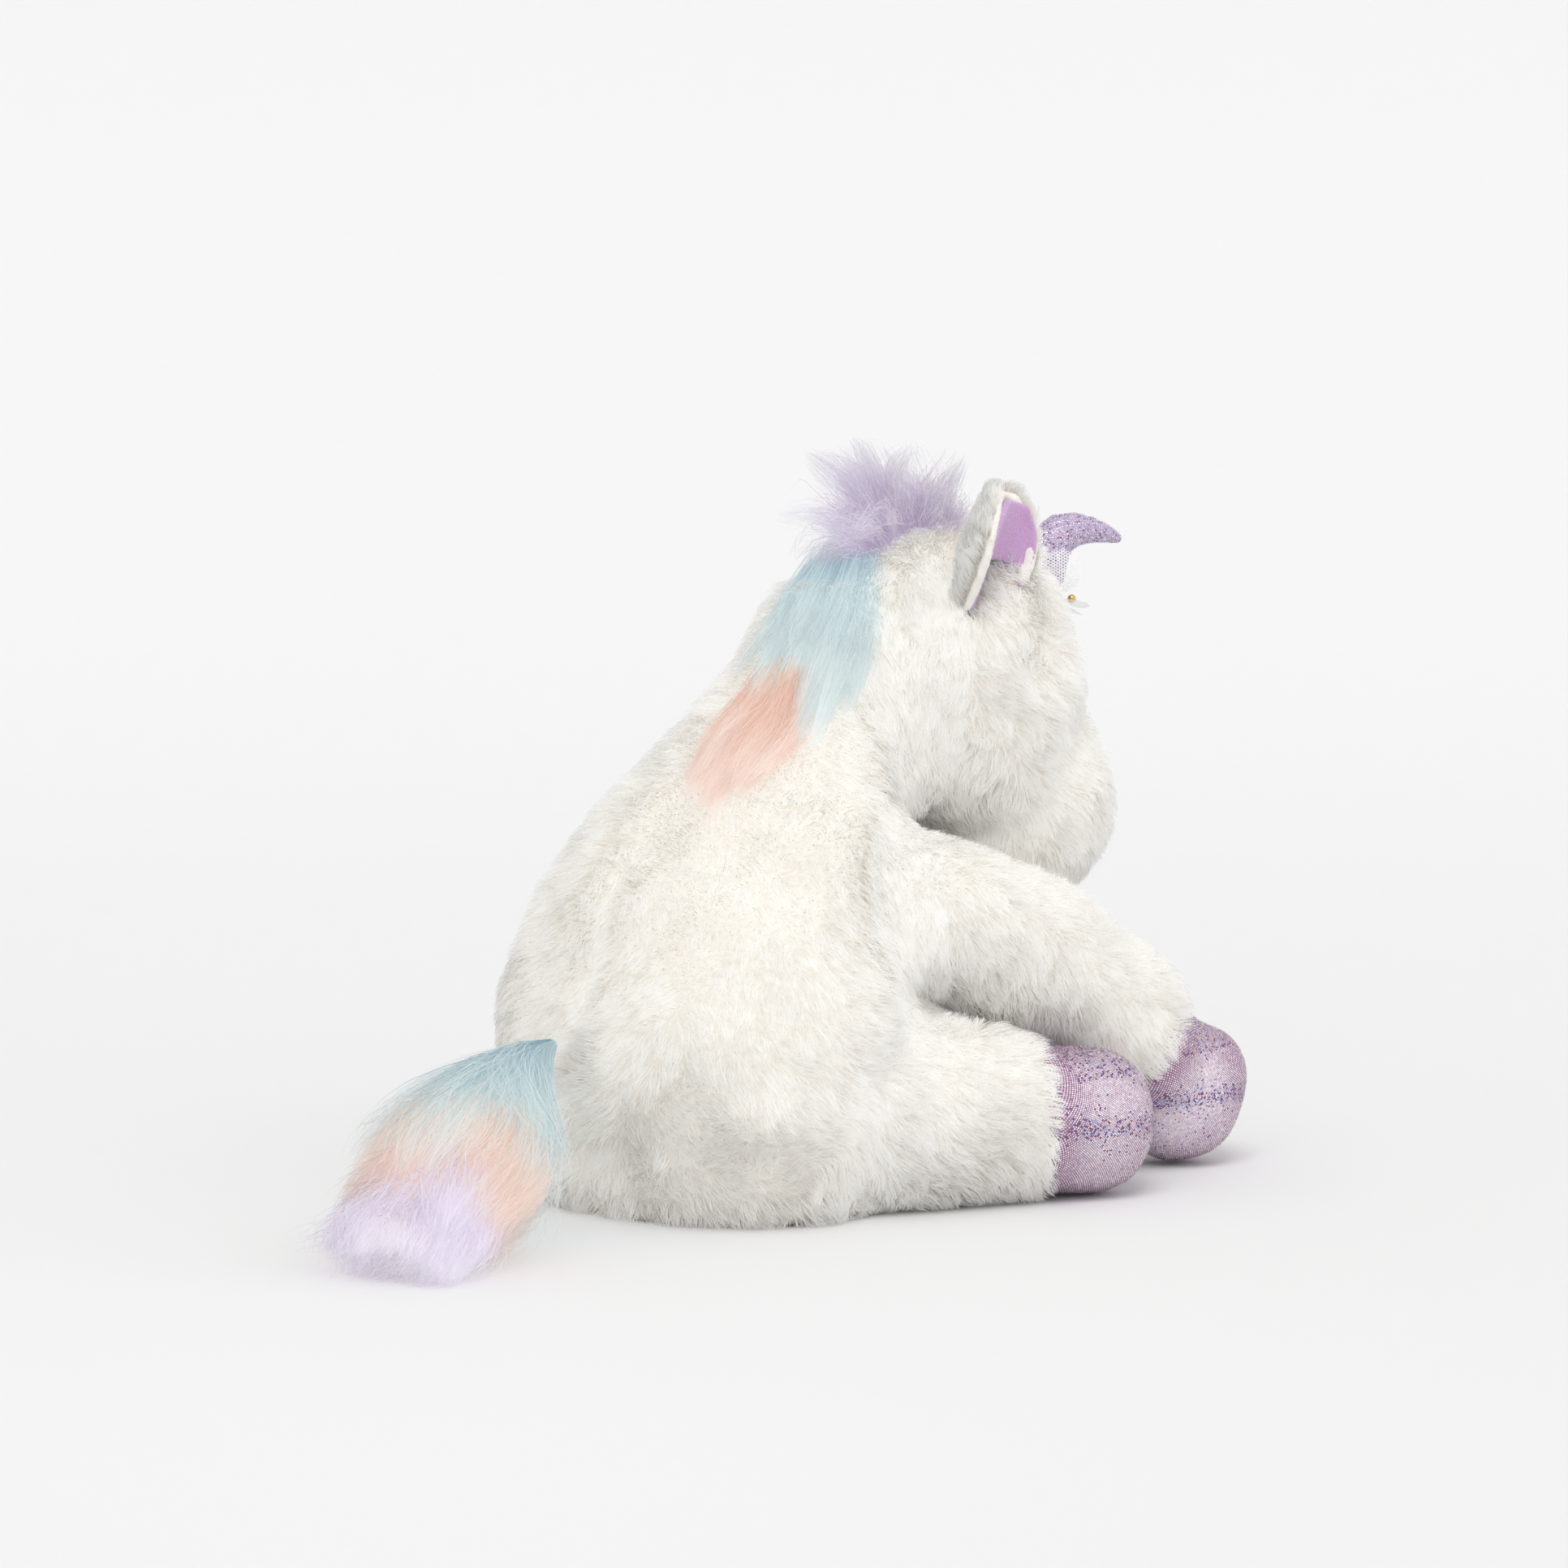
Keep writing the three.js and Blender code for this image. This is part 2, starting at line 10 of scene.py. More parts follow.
import bpy
import numpy as np
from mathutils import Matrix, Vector
from mathutils.bvhtree import BVHTree
from mathutils.kdtree import KDTree


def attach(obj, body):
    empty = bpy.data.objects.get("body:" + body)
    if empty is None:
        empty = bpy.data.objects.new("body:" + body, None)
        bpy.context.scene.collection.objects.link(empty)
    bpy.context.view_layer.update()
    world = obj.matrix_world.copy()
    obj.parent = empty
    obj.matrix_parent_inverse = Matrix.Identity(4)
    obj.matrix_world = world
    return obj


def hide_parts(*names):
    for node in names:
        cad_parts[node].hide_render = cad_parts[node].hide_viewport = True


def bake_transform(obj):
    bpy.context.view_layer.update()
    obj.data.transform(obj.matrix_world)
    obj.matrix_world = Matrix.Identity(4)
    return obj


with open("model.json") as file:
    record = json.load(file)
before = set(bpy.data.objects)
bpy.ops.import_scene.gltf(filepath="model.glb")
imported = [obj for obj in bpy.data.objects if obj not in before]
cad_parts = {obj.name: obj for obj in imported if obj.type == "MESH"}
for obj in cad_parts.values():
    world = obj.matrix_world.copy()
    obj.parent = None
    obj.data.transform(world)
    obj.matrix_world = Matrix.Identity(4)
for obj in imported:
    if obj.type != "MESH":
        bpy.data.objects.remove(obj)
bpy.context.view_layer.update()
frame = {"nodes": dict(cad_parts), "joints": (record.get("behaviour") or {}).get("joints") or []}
NODES = frame["nodes"]
MM = 0.001
SIDES = (("right", -1), ("left", 1))

# ---- camera ----
CAMERA_AZIMUTH = math.radians(226)
CAMERA_DISTANCE = 2200
CAMERA_HEIGHT = 400
CAMERA_LENS = 105
SENSOR_WIDTH = 36
CAMERA_CLIP = (0.1, 50)  # metres
AIM = (-27.4, -28.3, 202)
UP = np.array([0, 0, 1.0])
# Level ways, seen from the toy: to the camera, and to the camera's right.
TO_CAMERA = np.array([math.sin(CAMERA_AZIMUTH), -math.cos(CAMERA_AZIMUTH), 0])
TO_RIGHT = np.array([math.cos(CAMERA_AZIMUTH), math.sin(CAMERA_AZIMUTH), 0])


def added(name, data):
    """A new object in the scene."""
    obj = bpy.data.objects.new(name, data)
    bpy.context.scene.collection.objects.link(obj)
    return obj


def aimed(obj, place, aim):
    """Puts a camera or a light at a place, and points it at another."""
    obj.location = Vector(place) * MM
    obj.rotation_euler = (Vector(aim) - Vector(place)).to_track_quat("-Z", "Y").to_euler()


def make_camera():
    data = bpy.data.cameras.new("camera")
    data.lens = CAMERA_LENS
    data.sensor_width = SENSOR_WIDTH
    data.clip_start, data.clip_end = CAMERA_CLIP
    camera = added("camera", data)
    aimed(camera, CAMERA_DISTANCE * TO_CAMERA + CAMERA_HEIGHT * UP, AIM)
    bpy.context.scene.camera = camera


make_camera()


# ---- mesh helpers ----
def unit(v):
    return v / np.maximum(np.linalg.norm(v, axis=-1, keepdims=True), 1e-9)


def dot(a, b):
    return (a * b).sum(-1, keepdims=True)


def square_to(v, axis):
    """Vectors v without their part along unit axes, at unit length."""
    return unit(v - axis * dot(v, axis))


def filled_mesh(name, points, corners, starts, material):
    """A mesh from points in millimetres, its faces' corners and each face's first corner."""
    mesh = bpy.data.meshes.new(name)
    mesh.vertices.add(len(points))
    mesh.vertices.foreach_set("co", (points * MM).astype(np.float32).ravel())
    mesh.loops.add(len(corners))
    mesh.loops.foreach_set("vertex_index", corners.astype(np.int32))
    mesh.polygons.add(len(starts))
    mesh.polygons.foreach_set("loop_start", starts.astype(np.int32))
    mesh.update(calc_edges=True)
    if material:
        mesh.materials.append(material)
    return mesh


def mesh_object(name, points, faces, material=None, smooth=True):
    """An object from points in millimetres and an array of faces with equally many corners."""
    starts = np.arange(0, faces.size, faces.shape[1])
    mesh = filled_mesh(name, points, faces.ravel(), starts, material)
    if smooth:
        mesh.shade_smooth()
    return added(name, mesh)


def triangles_of(mesh):
    mesh.calc_loop_triangles()
    points = np.zeros(len(mesh.vertices) * 3, np.float32)
    mesh.vertices.foreach_get("co", points)
    tris = np.zeros(len(mesh.loop_triangles) * 3, np.int32)
    mesh.loop_triangles.foreach_get("vertices", tris)
    return points.reshape(-1, 3).astype(float) / MM, tris.reshape(-1, 3)


def joined(parts):
    """Several surfaces, given as points and triangles, as one."""
    starts = np.cumsum([0] + [len(points) for points, _ in parts])
    points = np.concatenate([points for points, _ in parts])
    return points, np.concatenate([tris + start for (_, tris), start in zip(parts, starts)])


def cad_surface(names):
    return joined([triangles_of(NODES[name].data) for name in names])


def used_only(points, tris):
    """The points that some triangle uses, and the triangles renumbered."""
    used, index = np.unique(tris, return_inverse=True)
    return points[used], index.reshape(-1, 3)


def largest_island(points, tris):
    """The connected piece with the largest extent."""
    label = np.arange(len(points))
    while True:
        low = label[tris].min(1)
        before = label.copy()
        np.minimum.at(label, tris.ravel(), np.repeat(low, 3))
        label = label[label]
        if (label == before).all():
            break
    labels, counts = np.unique(label, return_counts=True)
    keep = label == labels[counts.argmax()]
    index = np.cumsum(keep) - 1
    return points[keep], index[tris[keep[tris[:, 0]]]]


def vertex_normals(points, tris):
    a, b, c = points[tris[:, 0]], points[tris[:, 1]], points[tris[:, 2]]
    face = np.cross(b - a, c - a)
    normals = np.zeros_like(points)
    for k in range(3):
        np.add.at(normals, tris[:, k], face)
    return unit(normals)


def even_skin(points, tris, voxel, rounds):
    """One closed skin round triangles, in even triangles, and smoothed."""
    work = mesh_object("work", points, tris, smooth=False)
    remesh = work.modifiers.new("remesh", "REMESH")
    remesh.mode = "VOXEL"
    remesh.voxel_size = voxel * MM
    smooth = work.modifiers.new("smooth", "SMOOTH")
    smooth.factor = 0.5
    smooth.iterations = rounds
    evaluated = work.evaluated_get(bpy.context.evaluated_depsgraph_get())
    points, tris = largest_island(*triangles_of(evaluated.to_mesh()))
    bpy.data.objects.remove(work)
    return points, tris


def remeshed(names, voxel, rounds, grow):
    """An even skin round several CAD nodes, grown a little."""
    points, tris = even_skin(*cad_surface(names), voxel, rounds)
    return points + grow * vertex_normals(points, tris), tris


class Surface:
    """A closed triangle surface that can be sampled and tested for what lies inside it."""

    def __init__(self, points, tris):
        self.points, self.tris = points, tris
        self.normals = vertex_normals(points, tris)
        self.tree = BVHTree.FromPolygons(points.tolist(), tris.tolist())
        corner = points[tris]
        self.areas = np.linalg.norm(
            np.cross(corner[:, 1] - corner[:, 0], corner[:, 2] - corner[:, 0]), axis=1
        ) / 2

    def sample(self, random, count):
        chosen = random.choice(len(self.tris), count, p=self.areas / self.areas.sum())
        a, b = random.random((2, count, 1))
        over = a + b > 1
        a, b = np.where(over, 1 - a, a), np.where(over, 1 - b, b)
        corners = self.tris[chosen]
        place = self.points[corners]
        lean = self.normals[corners]
        at = place[:, 0] + a * (place[:, 1] - place[:, 0]) + b * (place[:, 2] - place[:, 0])
        return at, unit((1 - a - b) * lean[:, 0] + a * lean[:, 1] + b * lean[:, 2])

    def outside(self, points):
        """How far outside the surface many points lie, less than 0 inside, and the way out."""
        distance, way = np.empty(len(points)), np.empty((len(points), 3))
        for i, point in enumerate(points.tolist()):
            near, normal, _, reach = self.tree.find_nearest(point)
            way[i] = normal
            distance[i] = reach if (Vector(point) - near).dot(normal) > 0 else -reach
        return distance, way

    def depth(self, points):
        return -self.outside(points)[0]


class Swirl:
    """Smooth noise from about -1 to 1 with features of about one wavelength."""

    def __init__(self, seed, wavelength, waves=9):
        random = np.random.default_rng(seed)
        direction = unit(random.normal(size=(waves, 3)))
        self.k = direction * (2 * math.pi / wavelength) * random.uniform(0.6, 1.5, (waves, 1))
        self.phase = random.uniform(0, 2 * math.pi, waves)
        self.gain = 1.2 / math.sqrt(waves)

    def __call__(self, points):
        return np.sin(points @ self.k.T + self.phase).sum(1) * self.gain


def turned_about(v, axis, angle):
    """Vectors v turned about unit axes by angles."""
    c, s = np.cos(angle)[:, None], np.sin(angle)[:, None]
    return v * c + np.cross(axis, v) * s + axis * dot(axis, v) * (1 - c)


# ---- materials ----
def material(name, **values):
    made = bpy.data.materials.new(name)
    made.use_nodes = True
    shader = made.node_tree.nodes["Principled BSDF"]
    for key, value in values.items():
        socket = shader.inputs[key.replace("_", " ")]
        socket.default_value = (*value, 1) if isinstance(value, tuple) else value
    return made, made.node_tree, shader


def linear(rgb):
    """A display colour from 0 to 255 as linear light."""
    c = np.array(rgb) / 255
    return tuple(np.where(c <= 0.04045, c / 12.92, ((c + 0.055) / 1.055) ** 2.4).tolist())


def ramp_node(tree, factor, stops):
    ramp = tree.nodes.new("ShaderNodeValToRGB")
    elements = ramp.color_ramp.elements
    while len(elements) < len(stops):
        elements.new(0.5)
    for element, (position, colour) in zip(elements, stops):
        element.position = position
        element.color = (*linear(colour), 1)
    tree.links.new(factor, ramp.inputs[0])
    return ramp.outputs[0]


def multiplied(tree, a, b):
    mix = tree.nodes.new("ShaderNodeMix")
    mix.data_type = "RGBA"
    mix.blend_type = "MULTIPLY"
    mix.inputs[0].default_value = 1
    tree.links.new(a, mix.inputs[6])
    tree.links.new(b, mix.inputs[7])
    return mix.outputs[2]


STRAND_UV = "OFBake"
TRANSLUCENT_SHARE = 0.3  # how much of the light on a fibre goes through it


def strand_place(tree):
    """Two values of a strand or dot: its own tone, and how far along it a point is."""
    uv = tree.nodes.new("ShaderNodeUVMap")
    uv.uv_map = STRAND_UV
    parts = tree.nodes.new("ShaderNodeSeparateXYZ")
    tree.links.new(uv.outputs[0], parts.inputs[0])
    return parts.outputs[0], parts.outputs[1]


def strand_material(name, along, tints, roughness=0.7, sheen=0.15):
    """Fibre: colour runs from root to tip and differs a little from fibre to fibre."""
    made, tree, shader = material(
        name, Roughness=roughness, Specular_IOR_Level=0.25, Sheen_Weight=sheen
    )
    tone, share = strand_place(tree)
    base = multiplied(tree, ramp_node(tree, share, along), ramp_node(tree, tone, tints))
    tree.links.new(base, shader.inputs["Base Color"])
    through = tree.nodes.new("ShaderNodeBsdfTranslucent")
    tree.links.new(base, through.inputs["Color"])
    mix = tree.nodes.new("ShaderNodeMixShader")
    mix.inputs[0].default_value = TRANSLUCENT_SHARE
    tree.links.new(shader.outputs[0], mix.inputs[1])
    tree.links.new(through.outputs[0], mix.inputs[2])
    tree.links.new(mix.outputs[0], tree.nodes["Material Output"].inputs["Surface"])
    return made


def cloth_material(name, light, dark, scale, bump, roughness=0.9, sheen=0.3):
    """A napped cloth: fine noise in colour and height."""
    made, tree, shader = material(
        name, Roughness=roughness, Specular_IOR_Level=0.2, Sheen_Weight=sheen
    )
    place = tree.nodes.new("ShaderNodeTexCoord")
    noise = tree.nodes.new("ShaderNodeTexNoise")
    noise.inputs["Scale"].default_value = scale
    noise.inputs["Detail"].default_value = 4
    tree.links.new(place.outputs["Object"], noise.inputs["Vector"])
    colour = ramp_node(tree, noise.outputs[0], [(0.3, dark), (0.7, light)])
    tree.links.new(colour, shader.inputs["Base Color"])
    relief = tree.nodes.new("ShaderNodeBump")
    relief.inputs["Strength"].default_value = 0.5
    relief.inputs["Distance"].default_value = bump * MM
    tree.links.new(noise.outputs[0], relief.inputs["Height"])
    tree.links.new(relief.outputs[0], shader.inputs["Normal"])
    return made


WHITE = (255, 255, 255)
# The fibres are darker towards the root: painted shade down among the fibres. The fibre-to-fibre
# tints differ at random.
white_fur = strand_material(
    "white_fur",
    [(0, (234, 230, 224)), (0.35, (249, 247, 244)), (0.7, (254, 254, 253)), (1, WHITE)],
    [(0, (243, 242, 240)), (0.5, (251, 251, 250)), (1, WHITE)],
)
# The backing is a little darker and warmer than the fibre tips: painted shade for the gaps between
# fibres.
fur_backing = cloth_material("fur_backing", (244, 241, 235), (236, 232, 225), 300, 0.6)



# ---- a piece's body and the nodes it replaces ----
def settle(piece, slot, *replaced, body=None, fill=None):
    """Attaches a piece to its body and hides the CAD nodes it stands for; slot and fill are not
    used.
    """
    if body:
        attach(piece, body)
    if replaced:
        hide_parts(*replaced)


# ---- strands ----
STRAND_ROLL = 0.9  # radians by which a ribbon turns about itself, at most
STRAND_TAPER = 0.75  # how much of its width a ribbon loses towards the tip


def strands(name, paths, width, facing, seed, strand_mat, clump_tone, curl):
    """Tapered ribbons along paths, an (n, k, 3) array, with facing, of that shape, as normals.

    clump_tone, from 0 to 1, is the tint that a ribbon's clump shares. curl rounds the normals.
    """
    random = np.random.default_rng(seed)
    count, knots = paths.shape[:2]
    tangent = unit(np.gradient(paths, axis=1))
    side = unit(np.cross(tangent, facing))
    roll = np.repeat(random.uniform(-STRAND_ROLL, STRAND_ROLL, count), knots)
    side = turned_about(side.reshape(-1, 3), tangent.reshape(-1, 3), roll).reshape(paths.shape)
    share = np.linspace(0, 1, knots)
    half = 0.5 * width * (1 - STRAND_TAPER * share**1.5) * random.uniform(0.75, 1.25, (count, 1))
    body = slice(0, knots - 1)
    left = paths[:, body] - side[:, body] * half[:, body, None]
    right = paths[:, body] + side[:, body] * half[:, body, None]
    per = 2 * (knots - 1) + 1
    points = np.empty((count, per, 3))
    points[:, 0:-1:2], points[:, 1:-1:2], points[:, -1] = left, right, paths[:, -1]
    normals = np.empty_like(points)
    normals[:, 0:-1:2] = facing[:, body] - curl * side[:, body]
    normals[:, 1:-1:2] = facing[:, body] + curl * side[:, body]
    normals[:, -1] = facing[:, -1]
    quads = np.array([[2 * k, 2 * k + 1, 2 * k + 3, 2 * k + 2] for k in range(knots - 2)]).ravel()
    corner = np.concatenate([quads, [2 * knots - 4, 2 * knots - 3, 2 * knots - 2]])
    loops = (corner[None] + per * np.arange(count)[:, None]).ravel()
    starts = np.arange(0, len(quads) + 1, 4)
    starts = (starts[None] + len(corner) * np.arange(count)[:, None]).ravel()
    mesh = filled_mesh(name, points.reshape(-1, 3), loops, starts, strand_mat)
    mesh.shade_smooth()
    mesh.normals_split_custom_set_from_vertices(unit(normals).reshape(-1, 3))
    tone = 0.03 + 0.94 * (0.6 * clump_tone[:, None] + 0.4 * random.random((count, 1)))
    u, v = np.empty((count, per)), np.empty((count, per))
    u[:, 0:-1:2], u[:, 1:-1:2], u[:, -1:] = tone - 0.02, tone + 0.02, tone
    v[:, 0:-1:2] = v[:, 1:-1:2] = 0.02 + 0.96 * share[body]
    v[:, -1] = 0.98
    uv = np.stack([u.ravel()[loops], v.ravel()[loops]], 1)
    mesh.uv_layers.new(name=STRAND_UV).uv.foreach_set("vector", uv.astype(np.float32).ravel())
    obj = added(name, mesh)
    obj.visible_shadow = False  # light reaches down between fine fibres; the skins cast shadows
    return obj


def pulled_to_clumps(roots, paths, random, spacing, pull, weakest=0.5):
    """Strands bent towards their clump's middle one, more at the tip, and each clump's tone."""
    area = np.prod(np.ptp(roots, axis=0) + 1) ** (2 / 3) * 2
    count = int(min(max(area / spacing**2, 20), len(roots) / 3))
    chosen = random.choice(len(roots), count, replace=False)
    tree = KDTree(count)
    for i, place in enumerate(roots[chosen].tolist()):
        tree.insert(place, i)
    tree.balance()
    nearest = np.array([tree.find(p)[1] for p in roots.tolist()])
    share = np.linspace(0, 1, paths.shape[1])[None, :, None]
    strength = pull * random.uniform(weakest, 1.0, (len(roots), 1, 1))
    pulled = paths + strength * share**1.6 * (paths[chosen][nearest] - paths)
    return pulled, random.random(count)[nearest]


FLOOR_CLEARANCE = 0.8
ROOT_DEPTH = 0.6
FUR_KNOTS = 4
FUR_LENGTH, FUR_HEIGHT, FUR_WIDTH = 10.0, 7.5, 0.42
FUR_SPREAD = 0.45  # radians by which a fibre strays from the nap's way
WIDE_CLUMPS, FINE_CLUMPS = (16, 0.3), (5.5, 0.5)  # spacing, and the share of the way drawn in


def fur_paths(roots, normals, flow, random, length, height):
    """Short fur: each fibre rises from the skin and lies over along the flow."""
    count = len(roots)
    spin = turned_about(flow, normals, random.normal(0, FUR_SPREAD, count))
    span = length * random.uniform(0.6, 1.15, (count, 1))
    rise = height * random.uniform(0.6, 1.4, (count, 1))
    share = np.linspace(0, 1, FUR_KNOTS)[None, :, None]
    up = (rise * normals)[:, None] * (1 - (1 - share) ** 1.8)
    out = (span * spin)[:, None] * share**1.25
    return (roots - ROOT_DEPTH * normals)[:, None] + up + out


def fur(name, surface, count, seed, flow, hidden, length=FUR_LENGTH, height=FUR_HEIGHT):
    """Fur on a surface. flow says how it lies and hidden where none is, from points and normals."""
    random = np.random.default_rng(seed)
    roots, normals = surface.sample(random, count)
    shown = ~hidden(roots, normals)
    roots, normals = roots[shown], normals[shown]
    way = square_to(flow(roots, normals), normals)
    paths = fur_paths(roots, normals, way, random, length, height)
    paths, wide_tone = pulled_to_clumps(roots, paths, random, *WIDE_CLUMPS)
    paths, tone = pulled_to_clumps(roots, paths, random, *FINE_CLUMPS)
    paths[..., 2] = np.maximum(paths[..., 2], FLOOR_CLEARANCE)
    facing = np.repeat(normals[:, None], FUR_KNOTS, 1)
    lying = square_to(facing, unit(np.gradient(paths, axis=1)))
    facing = unit(0.3 * facing + 0.7 * lying)
    tone = 0.4 * wide_tone + 0.6 * tone
    return strands(name, paths, FUR_WIDTH, facing, seed + 1, white_fur, tone, 0.65)


# ---- torso skin ----
TORSO_NODES = ("torso_right_panel", "torso_left_panel", "seat_panel")
TORSO_SAMPLES = 260000
TORSO_LEVELS = np.concatenate([[0.6, 3, 7], np.arange(12, 294, 5.0)])
TORSO_AROUND = 128
LEVEL_REACH = 2.5  # samples this far above or below a level belong to it
LEAST_COSINE = 0.05
SEAM_DEPTH = 3.5
SEAM_WIDTH = 5.0


def torso_skin():
    """The torso without its limb sockets: each level's hull, with the sewn centre seam."""
    cloud, _ = Surface(*cad_surface(TORSO_NODES)).sample(np.random.default_rng(3), TORSO_SAMPLES)
    levels, around = TORSO_LEVELS, TORSO_AROUND
    angle = np.linspace(0, 2 * math.pi, around, endpoint=False)
    way = np.stack([np.cos(angle), np.sin(angle)], 1)
    cosine = way @ way.T
    centres, radii = [], []
    for level in levels:
        near = cloud[np.abs(cloud[:, 2] - level) < LEVEL_REACH][:, :2]
        centre = (near.max(0) + near.min(0)) / 2
        support = ((near - centre) @ way.T).max(0)
        reach = support[None] / np.maximum(cosine, LEAST_COSINE)
        reach = np.where(cosine > LEAST_COSINE, reach, np.inf).min(1)
        centres.append(centre)
        radii.append(reach)
    centres, radii = np.array(centres), np.array(radii)
    for _ in range(3):
        centres[1:-1] = (centres[:-2] + 2 * centres[1:-1] + centres[2:]) / 4
        radii[3:-1] = (radii[2:-2] + 2 * radii[3:-1] + radii[4:]) / 4
        radii = (np.roll(radii, 1, 1) + 2 * radii + np.roll(radii, -1, 1)) / 4
    rings = centres[:, None] + radii[..., None] * way[None]
    points = np.concatenate([rings, np.repeat(levels[:, None, None], around, 1)], 2).reshape(-1, 3)
    ends = [[*centres[0], levels[0]], [*centres[-1], levels[-1] + 3]]
    points = np.concatenate([points, ends])
    tris = []
    for i in range(len(levels) - 1):
        for j in range(around):
            a, b = i * around + j, i * around + (j + 1) % around
            tris += [[a, b, b + around], [a, b + around, a + around]]
    bottom, top = len(points) - 2, len(points) - 1
    last = (len(levels) - 1) * around
    for j in range(around):
        k = (j + 1) % around
        tris += [[bottom, k, j], [top, last + j, last + k]]
    tris = np.array(tris)
    normals = vertex_normals(points, tris)
    lumps = Swirl(11, 90)(points) * 1.6 + Swirl(12, 45)(points) * 0.8
    lumps *= np.clip(points[:, 2] / 25, 0, 1)
    back = normals[:, 1] > 0.1
    height = np.clip((points[:, 2] - 60) / 30, 0, 1) * np.clip((170 - points[:, 2]) / 50, 0.12, 1)
    seam = SEAM_DEPTH * height * np.exp(-((points[:, 0] / SEAM_WIDTH) ** 2)) * back
    return points + normals * (lumps - seam)[:, None], tris


torso = Surface(*torso_skin())

# ---- limbs ----
LIMBS = {}
FLOOR_GAP = 0.6
JOINTS = {joint["child"]: joint for joint in frame["joints"]}
CUFFS = {
    "front": ((95, -210, 66), (0.22, -0.75, -0.63)),
    "hind": ((113, -112, 39), (0.5, -0.86, 0)),
}
for limb in CUFFS:
    for side_name, side in SIDES:
        body = f"{limb}_leg_{side_name}"
        names = [f"{body}_cover", f"{limb}_hoof_{side_name}", f"{body}_filling"]
        (x, y, z), (u, v, w) = CUFFS[limb]
        points, tris = remeshed(names, 4, 14, grow=1.3)
        cuff_at, cuff_way = np.array([side * x, y, z]), unit(np.array([side * u, v, w]))
        beyond = (points - cuff_at) @ cuff_way
        normals = vertex_normals(points, tris)
        points = points - normals * (2.0 * np.exp(-((beyond / 3.0) ** 2)))[:, None]
        if limb == "front":
            points = points + normals * (Swirl(21 + side, 60)(points) * 1.2)[:, None]
        points[:, 2] = np.maximum(points[:, 2], FLOOR_GAP)
        pivot = np.array(JOINTS[body]["pos_m"]) / MM
        LIMBS[body] = {
            "surface": Surface(points, tris),
            "cuff_at": cuff_at,
            "cuff_way": cuff_way,
            "pivot": pivot,
            "along": unit(cuff_at - pivot),
        }

# ---- head ----
HEAD_NODES = ("head_centre_gusset", "head_right_panel", "head_left_panel", "head_filling")
HEAD_TURN = math.radians(-21)
PIVOT = np.array(JOINTS["head"]["pos_m"]) / MM
HEAD_FORWARD = np.array([math.sin(HEAD_TURN), -math.cos(HEAD_TURN), 0])
HEAD_LATERAL = np.array([math.cos(HEAD_TURN), math.sin(HEAD_TURN), 0])


def in_head(points):
    """Frame points in the head's own axes: right to left, back to front, up."""
    rel = points - PIVOT
    return np.stack([rel @ HEAD_LATERAL, rel @ HEAD_FORWARD, rel[..., 2]], -1)


def from_head(x, forward, z):
    return PIVOT + x * HEAD_LATERAL + forward * HEAD_FORWARD + np.array([0, 0, z])


head_points, head_tris = remeshed(HEAD_NODES, 4, 12, grow=0.8)
head_normals = vertex_normals(head_points, head_tris)
head_points = head_points + head_normals * (Swirl(31, 55)(head_points) * 1.4)[:, None]
head = Surface(head_points, head_tris)


EYE_RADIUS = 6.5
EYE_DOME = 4.0
EYE_TURN = math.radians(28)
EYES = {
    side: (
        from_head(side * 24.8, 118.6, -27),
        side * math.sin(EYE_TURN) * HEAD_LATERAL + math.cos(EYE_TURN) * HEAD_FORWARD,
    )
    for _, side in SIDES
}


def on_muzzle(side):
    """Where a nostril lies on the skin, and the way out."""
    start = from_head(side * 14, 260, -85)
    place, way, _, _ = head.tree.ray_cast(start.tolist(), (-HEAD_FORWARD).tolist())
    return np.array(place), np.array(way)


NOSTRILS = {side: on_muzzle(side) for _, side in SIDES}


# ---- how the fur lies ----
def torso_flow(points, normals):
    """Down the body, in swirls over the hips and rump."""
    down = np.tile(-UP, (len(points), 1))
    down[:, 0] += 0.25 * points[:, 0] / 100
    way = square_to(down, normals)
    low = np.clip((125 - points[:, 2]) / 60, 0, 1)
    turn = Swirl(41, 75)(points) * (0.25 + 0.75 * low)
    turn += Swirl(42, 28)(points) * (0.2 + 0.45 * low)
    return turned_about(way, normals, turn)


def head_flow(points, normals):
    """From the crown down to the muzzle, with whirls on the cheeks."""
    place = in_head(points)
    down = np.tile(0.35 * HEAD_FORWARD - UP, (len(points), 1))
    way = square_to(down, normals)
    cheek = np.clip(1 - np.abs(place[:, 2] + 20) / 75, 0, 1)
    turn = Swirl(51, 60)(points) * (0.3 + 0.6 * cheek)
    turn += Swirl(52, 26)(points) * (0.25 + 0.4 * cheek)
    return turned_about(way, normals, turn)


def limb_flow(limb):
    def flow(points, normals):
        along = 0.75 * limb["along"] - 0.45 * UP
        way = square_to(np.tile(along, (len(points), 1)), normals)
        turn = Swirl(61, 60)(points) * 0.35 + Swirl(62, 25)(points) * 0.3
        return turned_about(way, normals, turn)

    return flow


# ---- torso pieces ----
torso_obj = mesh_object("torso_backing", torso.points, torso.tris, fur_backing)
settle(
    torso_obj, "white_fur", *TORSO_NODES, "torso_filling", "pellet_pouch", body="torso", fill=0.75
)


SOCKET_REACH, LEG_REACH = 60, 70  # how near a leg's pivot the torso and the leg may overlap
NECK_LEVEL = 225


def torso_hidden(zone):
    def hidden(points, normals):
        away = ~zone(points) | (points[:, 2] < 1.5)
        for limb in LIMBS.values():
            near = (np.linalg.norm(points - limb["pivot"], axis=1) < SOCKET_REACH) & ~away
            away[near] |= limb["surface"].depth(points[near]) > 3
        neck = (points[:, 2] > NECK_LEVEL) & ~away
        away[neck] |= head.depth(points[neck]) > 2
        return away

    return hidden


